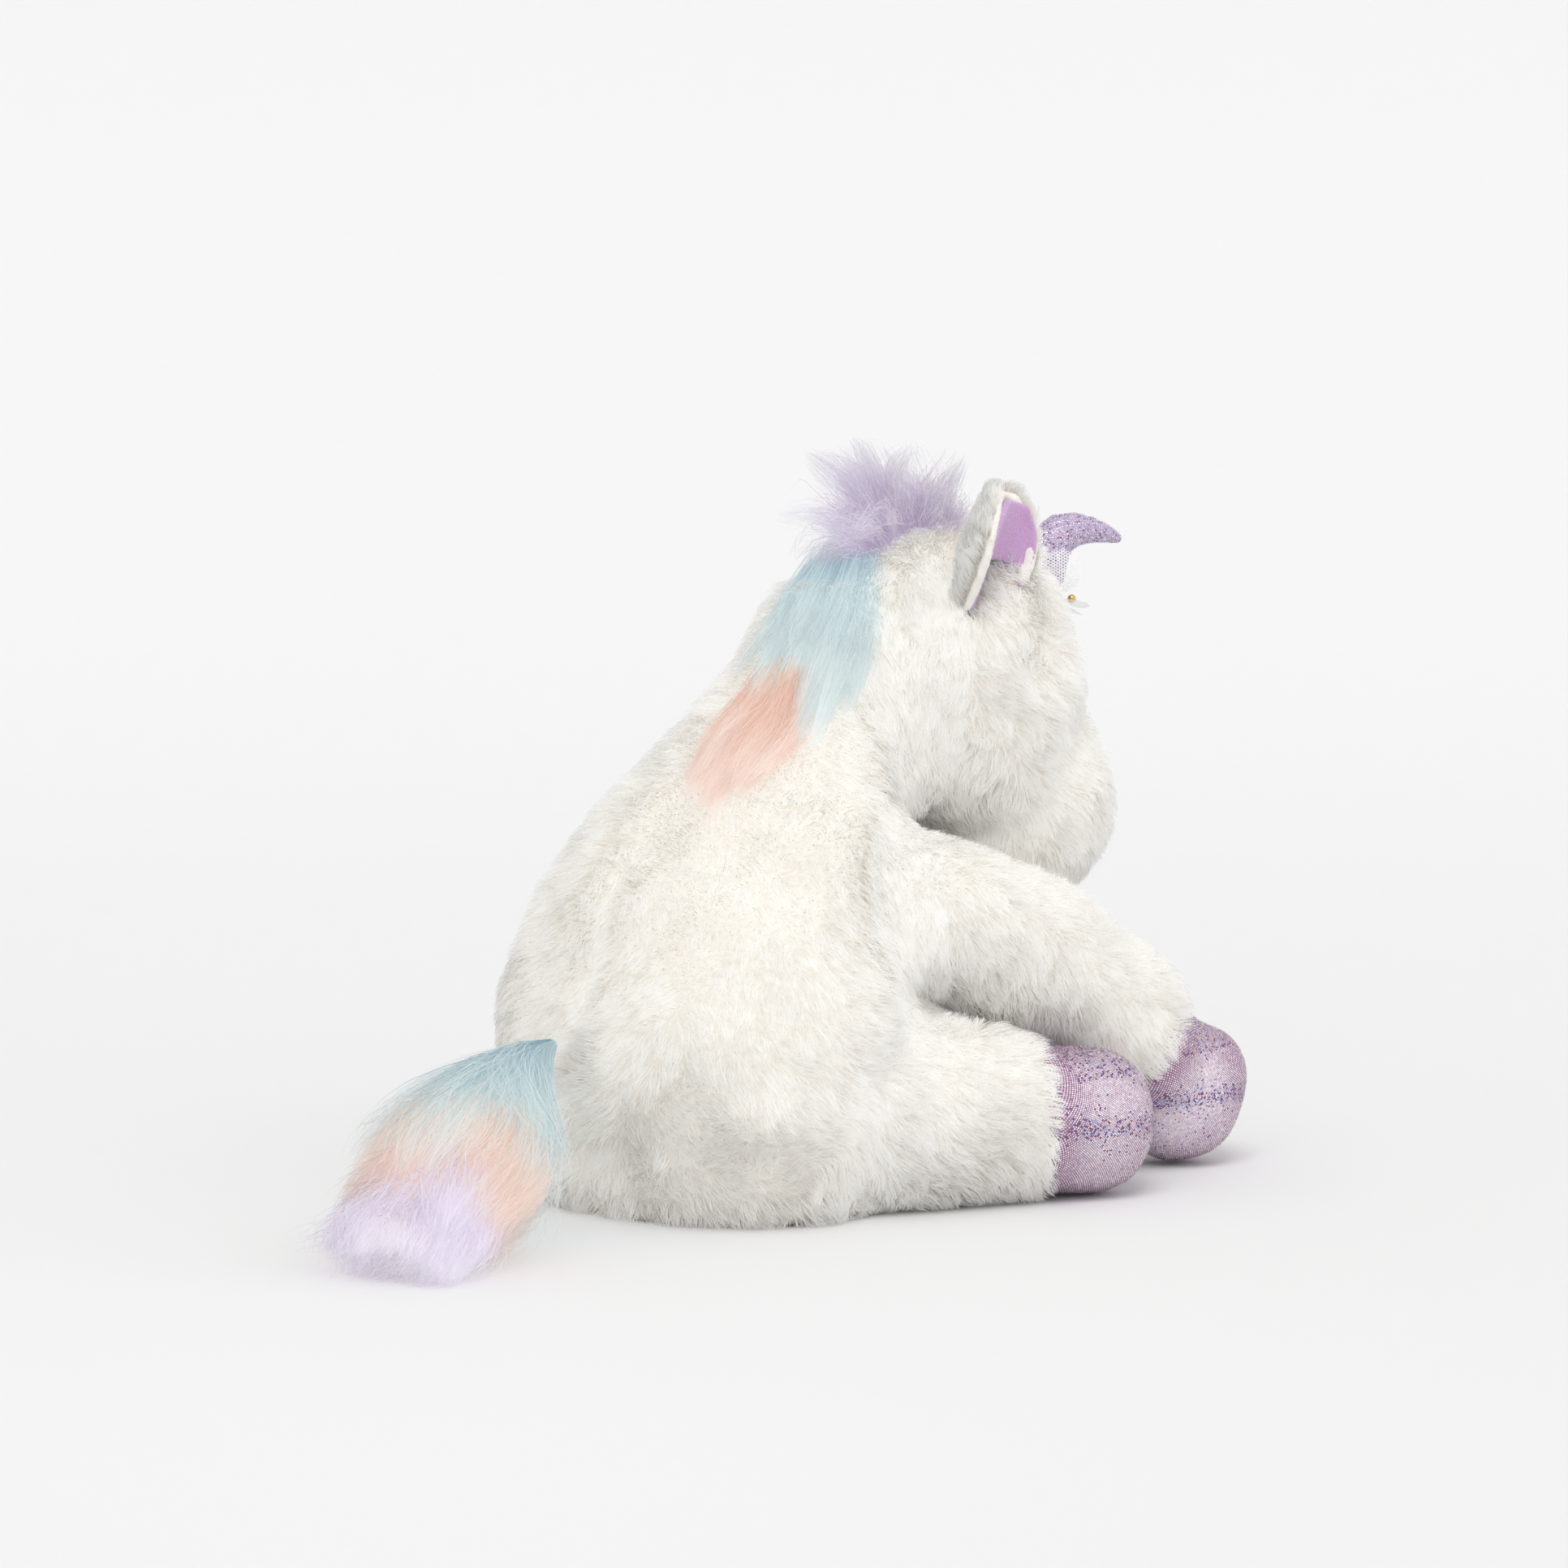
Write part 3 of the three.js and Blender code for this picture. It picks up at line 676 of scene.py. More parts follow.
TORSO_ZONES = {
    "back_right": lambda p: (p[:, 0] < 0) & (p[:, 1] > -20),
    "front_right": lambda p: (p[:, 0] < 0) & (p[:, 1] <= -20),
    "back_left": lambda p: (p[:, 0] >= 0) & (p[:, 1] > -20),
    "front_left": lambda p: (p[:, 0] >= 0) & (p[:, 1] <= -20),
}
for i, (zone_name, zone) in enumerate(TORSO_ZONES.items()):
    hidden = torso_hidden(zone)
    piece = fur(f"torso_fur_{zone_name}", torso, 120000, 100 + 3 * i, torso_flow, hidden)
    settle(piece, "white_fur", body="torso")

# ---- head pieces ----
head_obj = mesh_object("head_backing", head.points, head.tris, fur_backing)
settle(head_obj, "white_fur", *HEAD_NODES, body="head", fill=0.85)
NECK_BARE = 44  # no fur this near the pivot, inside the neck
EYE_CLEAR, BROW_CLEAR, BROW_HEIGHT = 4.0, 2.5, 8
NOSTRIL_CLEAR = 6.5


def head_hidden(side):
    eye, nostril = EYES[side][0], NOSTRILS[side][0]
    bare = (
        (PIVOT, NECK_BARE),
        (eye, EYE_RADIUS + EYE_CLEAR),
        (eye + BROW_HEIGHT * UP, EYE_RADIUS + BROW_CLEAR),
        (nostril + 2 * UP, NOSTRIL_CLEAR),
    )

    def hidden(points, normals):
        away = in_head(points)[:, 0] * side < 0
        for place, reach in bare:
            away |= np.linalg.norm(points - place, axis=1) < reach
        return away

    return hidden


for i, (side_name, side) in enumerate(SIDES):
    hidden = head_hidden(side)
    piece = fur(f"head_fur_{side_name}", head, 72000, 130 + 3 * i, head_flow, hidden)
    settle(piece, "white_fur", body="head")


def bend_with(piece):
    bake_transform(piece)


def cut_at_cuff(limb, beyond):
    """The limb's skin on one side of its cuff, with 2 mm of overlap."""
    points, tris = limb["surface"].points, limb["surface"].tris
    reach = (points[tris].mean(1) - limb["cuff_at"]) @ limb["cuff_way"]
    return used_only(points, tris[reach > -1.0] if beyond else tris[reach < 1.0])


def leg_hidden(limb):
    def hidden(points, normals):
        away = (points - limb["cuff_at"]) @ limb["cuff_way"] > -0.5
        away |= points[:, 2] < 1.2
        near = (np.linalg.norm(points - limb["pivot"], axis=1) < LEG_REACH) & ~away
        away[near] |= torso.depth(points[near]) > 4
        return away

    return hidden


for i, (body, limb) in enumerate(LIMBS.items()):
    skin = mesh_object(f"{body}_backing", *cut_at_cuff(limb, False), fur_backing)
    settle(skin, "white_fur", f"{body}_cover", f"{body}_filling", fill=0.7)
    bend_with(skin)
    count = 52000 if body.startswith("front") else 42000
    surface, flow, hidden = limb["surface"], limb_flow(limb), leg_hidden(limb)
    piece = fur(f"{body}_fur", surface, count, 140 + 3 * i, flow, hidden)
    settle(piece, "white_fur")
    bend_with(piece)


# ---- where the limbs and head run into the torso ----
def fillet_skin(first, second, radius, middle, reach):
    """The soft hollow between two skins: both swollen by a radius, joined, and shrunk back."""
    swollen = [(s.points + radius * s.normals, s.tris) for s in (first, second)]
    points, tris = even_skin(*joined(swollen), 5.0, 8)
    points = points - radius * vertex_normals(points, tris)
    kept = np.linalg.norm(points - middle, axis=1) < reach
    for surface in (first, second):
        gap = np.full(len(points), -99.0)
        gap[kept] = surface.outside(points[kept])[0]
        kept &= (gap > -1.0) & (gap < 1.7 * radius)
    points, tris = used_only(points, tris[kept[tris].all(1)])
    points[:, 2] = np.maximum(points[:, 2], FLOOR_GAP)
    return points, tris


def on_floor(points, normals):
    return points[:, 2] < 1.2


def fillet(name, other, radius, middle, reach, count, seed):
    """Backing and fur over the hollow between the torso and another skin."""
    surface = Surface(*fillet_skin(torso, other, radius, middle, reach))
    skin = mesh_object(f"{name}_fillet_backing", surface.points, surface.tris, fur_backing)
    furred = fur(f"{name}_fillet_fur", surface, count, seed, torso_flow, on_floor)
    for piece in (skin, furred):
        settle(piece, "white_fur")
    return skin, furred


for i, (body, limb) in enumerate(LIMBS.items()):
    for piece in fillet(body, limb["surface"], 16, limb["pivot"], 110, 16000, 170 + 3 * i):
        bend_with(piece)
for piece in fillet("head", head, 22, PIVOT, 88, 26000, 190):
    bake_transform(piece)


# ---- long hair ----
def pushed_out(paths, surface, clearance):
    """Paths moved out of a surface, to a clearance that grows from root to tip."""
    shape = paths.shape
    flat = paths.reshape(-1, 3)
    distance, way = surface.outside(flat)
    wanted = np.tile(clearance * np.linspace(0.1, 1, shape[1]) ** 0.7, shape[0])
    short = np.clip(wanted - distance, 0, None)
    return (flat + way * short[:, None]).reshape(shape)


def gap_at(place, stops):
    """Which gap between stops a place lies in, and how far along the gap."""
    gap = np.minimum(place.astype(int), stops - 2)
    return gap, place - gap


def along_spline(controls, count):
    """Catmull-Rom curves through controls, an (n, m, 3) array, as (n, count, 3)."""
    before = 2 * controls[:, :1] - controls[:, 1:2]
    after = 2 * controls[:, -1:] - controls[:, -2:-1]
    stops = controls.shape[1]
    i, t = gap_at(np.linspace(0, stops - 1, count), stops)
    t = t[None, :, None]
    controls = np.concatenate([before, controls, after], 1)
    a, b, c, d = (controls[:, i + k] for k in range(4))
    square, cube = 2 * a - 5 * b + 4 * c - d, 3 * b - a - 3 * c + d
    return 0.5 * (2 * b + (c - a) * t + square * t**2 + cube * t**3)


def wavy(paths, random, amount):
    """Adds each strand's own slow wave, growing towards the tip."""
    count, knots = paths.shape[:2]
    share = np.linspace(0, 1, knots)[None, :]
    total = np.zeros_like(paths)
    for _ in range(2):
        way = random.normal(size=(count, 1, 3))
        pace = random.uniform(1.5, 6.0, (count, 1))
        phase = random.uniform(0, 2 * math.pi, (count, 1))
        total += way * (np.sin(pace * share + phase) - np.sin(phase))[..., None]
    return paths + amount * share[..., None] ** 1.2 * total * 0.7


def cut_short(paths, random, shortest):
    """Each strand ends at its own share of its path."""
    count, knots = paths.shape[:2]
    keep = random.uniform(shortest, 1.0, (count, 1))
    i, t = gap_at(keep * np.arange(knots), knots)
    rows, t = np.arange(count)[:, None], t[..., None]
    return paths[rows, i] * (1 - t) + paths[rows, i + 1] * t


def lock_paths(guides, count, random, root_spread, tip_spread, wave, shortest):
    """Hair between neighbouring guide curves, each a list of points from root to tip."""
    guides = np.array(guides, float)
    i, t = gap_at(random.uniform(0, len(guides) - 1, count), len(guides))
    t = t[:, None, None]
    controls = guides[i] * (1 - t) + guides[i + 1] * t
    share = np.linspace(0, 1, controls.shape[1])[None, :, None]
    offset = random.normal(size=(count, 1, 3))
    controls = controls + offset * (root_spread + (tip_spread - root_spread) * share)
    return wavy(cut_short(along_spline(controls, HAIR_KNOTS), random, shortest), random, wave)


def hair(name, paths, seed, core, mat, clump, pull):
    """Long fibres gathered into locks. core is a point that they face away from."""
    random = np.random.default_rng(seed)
    paths, tone = pulled_to_clumps(paths[:, 0], paths, random, clump, pull, 0.8)
    paths = wavy(paths, random, 0.8)
    paths[..., 2] = np.maximum(paths[..., 2], FLOOR_CLEARANCE)
    away = unit(paths - np.asarray(core, float))
    tangent = unit(np.gradient(paths, axis=1))
    stray = 0.15 * random.normal(size=paths.shape)
    facing = unit(away - tangent * dot(away, tangent) + stray)
    return strands(name, paths, HAIR_WIDTH, facing, seed + 1, mat, tone, 0.9)


HAIR_KNOTS = 9
HAIR_WIDTH = 0.36
lilac_hair = strand_material(
    "lilac_hair",
    [(0, (222, 211, 232)), (0.25, (237, 229, 243)), (0.6, (247, 243, 250)), (1, (255, 254, 255))],
    [(0, (236, 232, 242)), (0.5, (250, 248, 252)), (1, WHITE)],
    0.55,
)
blue_hair = strand_material(
    "blue_hair",
    [(0, (204, 223, 229)), (0.3, (221, 235, 238)), (0.65, (236, 243, 243)), (1, (252, 252, 250))],
    [(0, (216, 225, 230)), (0.5, (243, 247, 248)), (1, WHITE)],
    0.5,
)
peach_hair = strand_material(
    "peach_hair",
    [(0, (240, 210, 195)), (0.3, (248, 224, 211)), (0.65, (252, 236, 227)), (1, (255, 250, 247))],
    [(0, (234, 222, 217)), (0.5, (248, 243, 240)), (1, WHITE)],
    0.5,
)

# The mane falls back along the neck and out to the toy's right side.
BACK = np.array([0.695, 0.719, 0])
OUT = np.array([-0.719, 0.695, 0])
CROWN = np.array([-13, -122, 319])
CROWN_TOP = 356
CROWN_SOFT = 13
# The crown tuft, from the forelock round to the nape: steps back, up and out from the crown.
LILAC_STEPS = [
    [(-25, 1, 0), (-26, 8, 2), (-27, 14, 3), (-29, 20, 3)],
    [(-14, 0, 0), (-10, 14, 4), (-6, 26, 5), (-1, 36, 4)],
    [(-4, -2, 2), (4, 17, 7), (12, 35, 8), (17, 50, 6)],
    [(2, -4, 4), (12, 14, 9), (21, 27, 10), (30, 38, 8)],
    [(6, -6, 6), (18, 5, 11), (30, 9, 13), (42, 7, 12)],
    [(10, -8, 8), (24, -1, 13), (38, -7, 15), (56, -17, 14)],
]
# Locks laid on the neck, from the front edge to the back: how far back and how high, root to tip.
BLUE_STEPS = [
    [(-87, 308), (-79, 281), (-70, 249), (-55, 210)],
    [(-79, 310), (-68, 281), (-56, 249), (-44, 214)],
    [(-71, 308), (-56, 281), (-42, 253), (-34, 226)],
    [(-62, 304), (-44, 281), (-32, 257), (-24, 238)],
]
PEACH_STEPS = [
    [(-50, 249), (-44, 229), (-30, 209), (-14, 188)],
    [(-42, 253), (-32, 233), (-16, 213), (0, 185)],
    [(-34, 251), (-20, 233), (-4, 213), (14, 191)],
]


def laid(back, up):
    """Where such a point lies on the toy's right side, or just behind its outline."""
    for inward in range(0, 80, 3):
        start = (back - inward) * BACK + up * UP + 300 * OUT
        hits = [s.tree.ray_cast(start.tolist(), (-OUT).tolist())[0] for s in (head, torso)]
        hits = [np.array(hit) for hit in hits if hit is not None]
        if hits:
            return max(hits, key=lambda hit: hit @ OUT) + inward * BACK
    raise ValueError(f"nothing to lie on at {back}, {up}")


LILAC_GUIDES = [
    [CROWN + a * BACK + b * UP + c * OUT for a, b, c in steps] for steps in LILAC_STEPS
]
BLUE_GUIDES = [[laid(*place) for place in steps] for steps in BLUE_STEPS]
PEACH_GUIDES = [[laid(*place) for place in steps] for steps in PEACH_STEPS]
MANE_CORE = (0, -75, 190)
MANE_CLEARANCE = 8.5


def mane_piece(colour, guides, count, seed, mat, spreads, wave, surfaces, shortest, clump, pull):
    """A lock. spreads are how far its hairs stray at root and tip, surfaces what it lies on."""
    random = np.random.default_rng(seed)
    paths = lock_paths(guides, count, random, *spreads, wave, shortest)
    for surface in surfaces:
        paths = pushed_out(paths, surface, MANE_CLEARANCE)
    over = np.clip(paths[..., 2] - CROWN_TOP, 0, None)
    paths[..., 2] += CROWN_SOFT * np.tanh(over / CROWN_SOFT) - over
    piece = hair(f"mane_{colour}_hair", paths, seed + 1, MANE_CORE, mat, clump, pull)
    settle(piece, f"{colour}_long_pile", f"mane_{colour}")
    return piece


lilac_piece = mane_piece(
    "lilac", LILAC_GUIDES, 6000, 301, lilac_hair, (4.0, 12.0), 7.0, (head,), 0.35, 9, 0.95
)
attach(lilac_piece, "head")
blue_piece = mane_piece(
    "blue", BLUE_GUIDES, 9500, 311, blue_hair, (3.5, 4.5), 4.0, (head, torso), 0.45, 7, 0.88
)
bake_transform(blue_piece)
peach_piece = mane_piece(
    "peach", PEACH_GUIDES, 7000, 321, peach_hair, (4.0, 5.5), 4.5, (torso,), 0.45, 7, 0.88
)
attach(peach_piece, "torso")

# The tail's envelope: centre line and half-sizes across and up.
TAIL = np.array(
    [
        (0, 98, 86, 10, 10),
        (0, 106, 83, 17, 17),
        (-5, 124, 75, 27, 25),
        (-14, 149, 58, 40, 33),
        (-28, 180, 39, 46, 34),
        (-40, 210, 26, 40, 24),
        (-50, 236, 15, 37, 15),
        (-56, 248, 9, 33, 8),
    ],
    float,
)
# Colour, material, hairs, and the ranges of where they start and how far they run.
TAIL_SECTIONS = [
    ("blue", blue_hair, 9500, (0.0, 0.26), (0.42, 0.62)),
    ("peach", peach_hair, 12500, (0.24, 0.5), (0.34, 0.52)),
    ("lilac", lilac_hair, 13000, (0.5, 0.8), (0.2, 0.45)),
]
TAIL_WAY = np.array([-0.32, 0.85, -0.42])
TAIL_CORE = (-20, 160, 20)


def tail_at(share):
    """Centre and half-sizes at shares of the tail's length."""
    step = np.linalg.norm(np.diff(TAIL[:, :3], axis=0), axis=1)
    place = np.concatenate([[0], np.cumsum(step)]) / step.sum()
    return np.stack([np.interp(share, place, TAIL[:, k]) for k in range(5)], -1)


def tail_paths(random, count, roots, reaches):
    start = random.uniform(*roots, count)
    end = np.minimum(start + random.uniform(*reaches, count), 1.0)
    angle = random.uniform(0, 2 * math.pi, count)
    fullness = random.uniform(0.3, 1.25, count) ** 0.7
    step = np.linspace(0, 1, HAIR_KNOTS)[None]
    share = start[:, None] + (end - start)[:, None] * step
    spread = (0.22 + 0.78 * (1 - (1 - step) ** 2)) * fullness[:, None]
    turn = angle[:, None] + random.normal(0, 0.6, (count, 1)) * step
    at = tail_at(share)
    across = at[..., 3] * spread * np.cos(turn)
    up = at[..., 4] * spread * np.sin(turn)
    side = unit(np.cross(TAIL_WAY, UP))
    rise = unit(np.cross(side, TAIL_WAY))
    return at[..., :3] + across[..., None] * side + up[..., None] * rise


for i, (colour, mat, count, roots, reaches) in enumerate(TAIL_SECTIONS):
    random = np.random.default_rng(340 + 5 * i)
    paths = wavy(tail_paths(random, count, roots, reaches), random, 5.5)
    piece = hair(f"tail_{colour}_hair", paths, 341 + 5 * i, TAIL_CORE, mat, 8, 0.72)
    settle(piece, f"{colour}_long_pile", f"tail_{colour}", body="tail")


# ---- foil-dot fabric: hooves and horn ----
def foil_cloth(name, light, dark):
    made = cloth_material(name, light, dark, 900, 0.15, roughness=0.45, sheen=0.1)
    shader = made.node_tree.nodes["Principled BSDF"]
    shader.inputs["Coat Weight"].default_value = 0.35
    shader.inputs["Coat Roughness"].default_value = 0.3
    return made


def foil_material(name, stops):
    made, tree, shader = material(name, Roughness=0.3, Metallic=0.6)
    colour = ramp_node(tree, strand_place(tree)[0], stops)
    colour.node.color_ramp.interpolation = "CONSTANT"
    tree.links.new(colour, shader.inputs["Base Color"])
    return made


hoof_cloth = foil_cloth("hoof_cloth", (166, 122, 154), (136, 96, 130))
horn_cloth = foil_cloth("horn_cloth", (206, 188, 214), (168, 144, 182))
# On the hooves the upper end of this ramp, dark purple, peach and white, colours the dots in the
# glint band: painted glints.
hoof_foil = foil_material(
    "hoof_foil",
    [
        (0, (250, 240, 248)), (0.35, (240, 220, 238)), (0.64, (190, 200, 238)),
        (0.76, (120, 88, 138)), (0.88, (248, 212, 204)), (0.95, WHITE),
    ],
)
horn_foil = foil_material(
    "horn_foil",
    [
        (0, (250, 247, 252)), (0.34, (226, 206, 232)), (0.56, (196, 206, 236)),
        (0.7, (104, 78, 124)), (0.82, (250, 214, 216)), (0.9, WHITE),
    ],
)
DOT_LIFT = 0.22
DOT_UV = 0.012
SIXTHS = np.arange(6) * math.pi / 3


def dots(name, places, normals, radius, tilt, seed, mat, sparkle):
    """Flat hexagonal foil dots just above a surface, each tilted a little."""
    random = np.random.default_rng(seed)
    count = len(places)
    lean = unit(normals + tilt * random.normal(size=(count, 3)))
    first = unit(np.cross(lean, unit(random.normal(size=(count, 3)))))
    second = np.cross(lean, first)
    cosine, sine = np.cos(SIXTHS)[:, None], np.sin(SIXTHS)[:, None]
    size = radius * random.uniform(0.85, 1.1, (count, 1, 1))
    ring = first[:, None] * cosine + second[:, None] * sine
    points = ((places + DOT_LIFT * normals)[:, None] + ring * size).reshape(-1, 3)
    obj = mesh_object(name, points, np.arange(count * 6).reshape(-1, 6), mat, smooth=False)
    layer = obj.data.uv_layers.new(name=STRAND_UV)
    tone = random.uniform(0.02, 0.98, (count, 2))
    # Dots picked by sparkle take the upper end of the ramp; on the hooves they form the band of
    # painted glints.
    plain = random.random(count) > sparkle(places)
    tone[:, 0] = np.where(plain, 0.6 * tone[:, 0], 0.5 + 0.48 * tone[:, 0])
    uv = tone[:, None] + DOT_UV * np.hstack([cosine, sine])
    layer.uv.foreach_set("vector", uv.astype(np.float32).ravel())
    return obj


# Painted glints on the hooves: the band's height, and the height above which more dots glint.
GLINT_BAND_HEIGHT = 38
GLINT_TOP = 60


def glint_band(places):
    """How often a hoof's dot takes a glint colour: painted glints in a band half-way up, and
    towards the top.
    """
    band = np.exp(-(((places[:, 2] - GLINT_BAND_HEIGHT) / 5.5) ** 2))
    return 0.05 + 0.85 * band + 0.5 * (places[:, 2] > GLINT_TOP)


def spread_places(surface, pitch, seed):
    """Evenly spaced places on a surface: random candidates, less those too near an earlier one."""
    random = np.random.default_rng(seed)
    places, normals = surface.sample(random, int(surface.areas.sum() / pitch**2 * 5))
    least = (0.82 * pitch) ** 2
    cells, chosen = {}, []
    for i, (x, y, z) in enumerate(places.tolist()):
        cell = (int(x // pitch), int(y // pitch), int(z // pitch))
        near = (
            place
            for step in np.ndindex(3, 3, 3)
            for place in cells.get(tuple(c + s - 1 for c, s in zip(cell, step)), ())
        )
        if all((x - u) ** 2 + (y - v) ** 2 + (z - w) ** 2 > least for u, v, w in near):
            cells.setdefault(cell, []).append((x, y, z))
            chosen.append(i)
    return places[chosen], normals[chosen]


def rounded_lattice(surface, centre, count, keep):
    """Places in a spiral lattice seen from a centre, cast onto a rounded surface."""
    i = np.arange(count) + 0.5
    tall = 1 - 2 * i / count
    turn = i * math.pi * (3 - math.sqrt(5))
    ring = np.sqrt(1 - tall**2)
    ways = np.stack([ring * np.cos(turn), tall, ring * np.sin(turn)], 1)
    places, normals = [], []
    for way in ways.tolist():
        hit, normal, _, _ = surface.tree.ray_cast(centre.tolist(), way)
        if hit is not None:
            places.append(hit)
            normals.append(normal)
    places, normals = np.array(places), np.array(normals)
    kept = keep(places)
    return places[kept], normals[kept]


HOOF_DOTS = 15500
HOOF_MIDDLE = 26  # from the cuff to the lattice's centre
HOOF_HEIGHT = 37
for i, (body, limb) in enumerate(LIMBS.items()):
    node = body.replace("_leg_", "_hoof_")
    cloth = mesh_object(f"{node}_cloth", *cut_at_cuff(limb, True), hoof_cloth)
    settle(cloth, "sparkle_foil_fabric", node, body=body, fill=0.9)
    middle = limb["cuff_at"] + HOOF_MIDDLE * limb["cuff_way"]
    middle[2] = HOOF_HEIGHT

    def on_hoof(places, limb=limb):
        return ((places - limb["cuff_at"]) @ limb["cuff_way"] > 0) & (places[:, 2] > 1)

    places, normals = rounded_lattice(limb["surface"], middle, HOOF_DOTS, on_hoof)
    dotted = dots(f"{node}_foil", places, normals, 0.46, 0.07, 401 + i, hoof_foil, glint_band)
    settle(dotted, "sparkle_foil_fabric", body=body)

HORN_NODES = ("horn_cover", "horn_filling")
HORN_SPARKLE = 0.6


def everywhere(places):
    return np.full(len(places), HORN_SPARKLE)


horn = Surface(*remeshed(HORN_NODES, 1.3, 6, grow=0.4))
horn_obj = mesh_object("horn_cloth", horn.points, horn.tris, horn_cloth)
settle(horn_obj, "sparkle_foil_fabric", *HORN_NODES, body="horn", fill=0.8)
places, normals = spread_places(horn, 1.12, 421)
horn_dots = dots("horn_foil", places, normals, 0.42, 0.16, 422, horn_foil, everywhere)
settle(horn_dots, "sparkle_foil_fabric", body="horn")

# ---- ears ----
velour = cloth_material(
    "lilac_velour", (212, 176, 214), (190, 150, 194), 1500, 0.25, roughness=0.85, sheen=0.6
)
EAR_OPEN_TURN = math.radians(60)
LINING_REACH = 0.26  # how far the lining turns out over the ear's edges, as a share of its width
LINING_STRETCH = 0.12  # the same, along the ear
LINING_PROUD = 1.6
for i, (side_name, side) in enumerate(SIDES):
    ear_name = f"ear_{side_name}"
    outward = side * math.sin(EAR_OPEN_TURN) * HEAD_LATERAL
    long = unit(side * 0.2 * HEAD_LATERAL + 0.32 * HEAD_FORWARD + UP)
    opens = square_to(outward + math.cos(EAR_OPEN_TURN) * HEAD_FORWARD, long)
    ear = Surface(*remeshed([f"{ear_name}_back"], 1.5, 6, grow=0.5))
    back = mesh_object(f"{ear_name}_backing", ear.points, ear.tris, fur_backing)
    settle(back, "white_fur", f"{ear_name}_back", body=ear_name)

    def ear_flow(points, normals, long=long):
        way = square_to(np.tile(long, (len(points), 1)), normals)
        return turned_about(way, normals, Swirl(71, 30)(points) * 0.3)

    def ear_hidden(points, normals, opens=opens):
        return normals @ opens > 0.1

    piece = fur(f"{ear_name}_fur", ear, 26000, 431 + 3 * i, ear_flow, ear_hidden, 8.0, 6.0)
    settle(piece, "white_fur", body=ear_name)
    points, tris = remeshed([f"{ear_name}_lining"], 0.9, 5, grow=0.3)
    front = unit(HEAD_FORWARD - opens * (HEAD_FORWARD @ opens) - long * (HEAD_FORWARD @ long))
    middle = points.mean(0)
    points = points + LINING_REACH * ((points - middle) @ front)[:, None] * front
    points = points + LINING_STRETCH * ((points - middle) @ long)[:, None] * long
    points = points + LINING_PROUD * opens
    lining = mesh_object(f"{ear_name}_velour", points, tris, velour)
    settle(lining, "lilac_velour", f"{ear_name}_lining", body=ear_name)


# ---- small pieces: eyes, petals, beads, stitches, label ----
def turned(profile, steps=40):
    """Points and faces of a profile of (radius, height) pairs spun about z."""
    angle = np.linspace(0, 2 * math.pi, steps, endpoint=False)
    radius, height = np.array(profile, float).T[..., None]
    level = np.broadcast_to(height, (len(profile), steps))
    points = np.stack([radius * np.cos(angle), radius * np.sin(angle), level], -1)
    rows = np.arange(len(profile) - 1)[:, None] * steps
    here, after = np.arange(steps)[None], (np.arange(steps)[None] + 1) % steps
    faces = np.stack([rows + here, rows + after, rows + steps + after, rows + steps + here], -1)
    return points.reshape(-1, 3), faces.reshape(-1, 4)


def stood(points, place, way):
    """Points with their z axis turned to a way and moved to a place."""
    turn = np.array(Vector(way).to_track_quat("Z", "Y").to_matrix())
    return points @ turn.T + place


eye_black, _, _ = material(
    "eye_black", Base_Color=(0.012, 0.01, 0.009), Roughness=0.06, Coat_Weight=0.6
)
washer_white, _, _ = material("washer_white", Base_Color=(0.8, 0.8, 0.8), Roughness=0.4)
bead_gold, _, _ = material(
    "bead_gold", Base_Color=(0.78, 0.5, 0.17), Metallic=1.0, Roughness=0.22
)
EYE_STEM = [(0.01, -13), (2, -13), (2, -0.6), (6.2, -0.6)]
for side_name, side in SIDES:
    angle = np.linspace(0, math.pi / 2 - 0.02, 14)
    dome = list(zip(EYE_RADIUS * np.cos(angle), EYE_DOME * np.sin(angle)))
    points, faces = turned(EYE_STEM + dome)
    eye = mesh_object(f"eye_{side_name}_dome", stood(points, *EYES[side]), faces, eye_black)
    settle(eye, "black_eye", f"eye_{side_name}", body="head")
    washer = NODES[f"eye_{side_name}_washer"].data
    washer.materials.clear()
    washer.materials.append(washer_white)

BEAD_RADIUS = 2.2
BEAD_HOLE = 0.6
BEADS = [(-6, 127, 24), (6, 128, 18)]
for i, place in enumerate(BEADS):
    open_angle = math.asin(BEAD_HOLE / BEAD_RADIUS)
    angle = np.linspace(-math.pi / 2 + open_angle, math.pi / 2 - open_angle, 18)
    rim = BEAD_RADIUS * math.sin(math.pi / 2 - open_angle)
    ball = list(zip(BEAD_RADIUS * np.cos(angle), BEAD_RADIUS * np.sin(angle)))
    points, faces = turned(ball + [(BEAD_HOLE, -rim), ball[0]])
    way = unit(0.8 * HEAD_LATERAL * (1 if i else -1) + 0.4 * HEAD_FORWARD + 0.5 * UP)
    points = stood(points, from_head(*place), way)
    bead = mesh_object(f"bead_{i + 1}_gold", points, faces, bead_gold)
    settle(bead, "gold_bead", f"bead_{i + 1}", body="head")

# Petals: node, turn round the horn, outward tilt, length, half-width, cell radius of the net.
PETALS = [
    ("petal_net_right", -1.75, 0.3, 23, 11, 0.85),
    ("petal_net_left", 1.75, 0.3, 23, 11, 0.85),
    ("petal_tulle_right", -0.8, 1.3, 14, 6.5, 0.5),
    ("petal_tulle_left", 0.8, 1.3, 14, 6.5, 0.5),
    ("petal_tulle_front", 0, 1.5, 13, 6, 0.5),
]
PETAL_RING = 15
HORN_LEAN = 0.5
HORN_FOOT = (0, 110, 26)
PETAL_CLEARANCE = 0.4
NET_OPENING = 0.64
net_white = cloth_material(
    "net_white", (252, 252, 253), (240, 240, 244), 900, 0.1, roughness=0.45, sheen=0.4
)


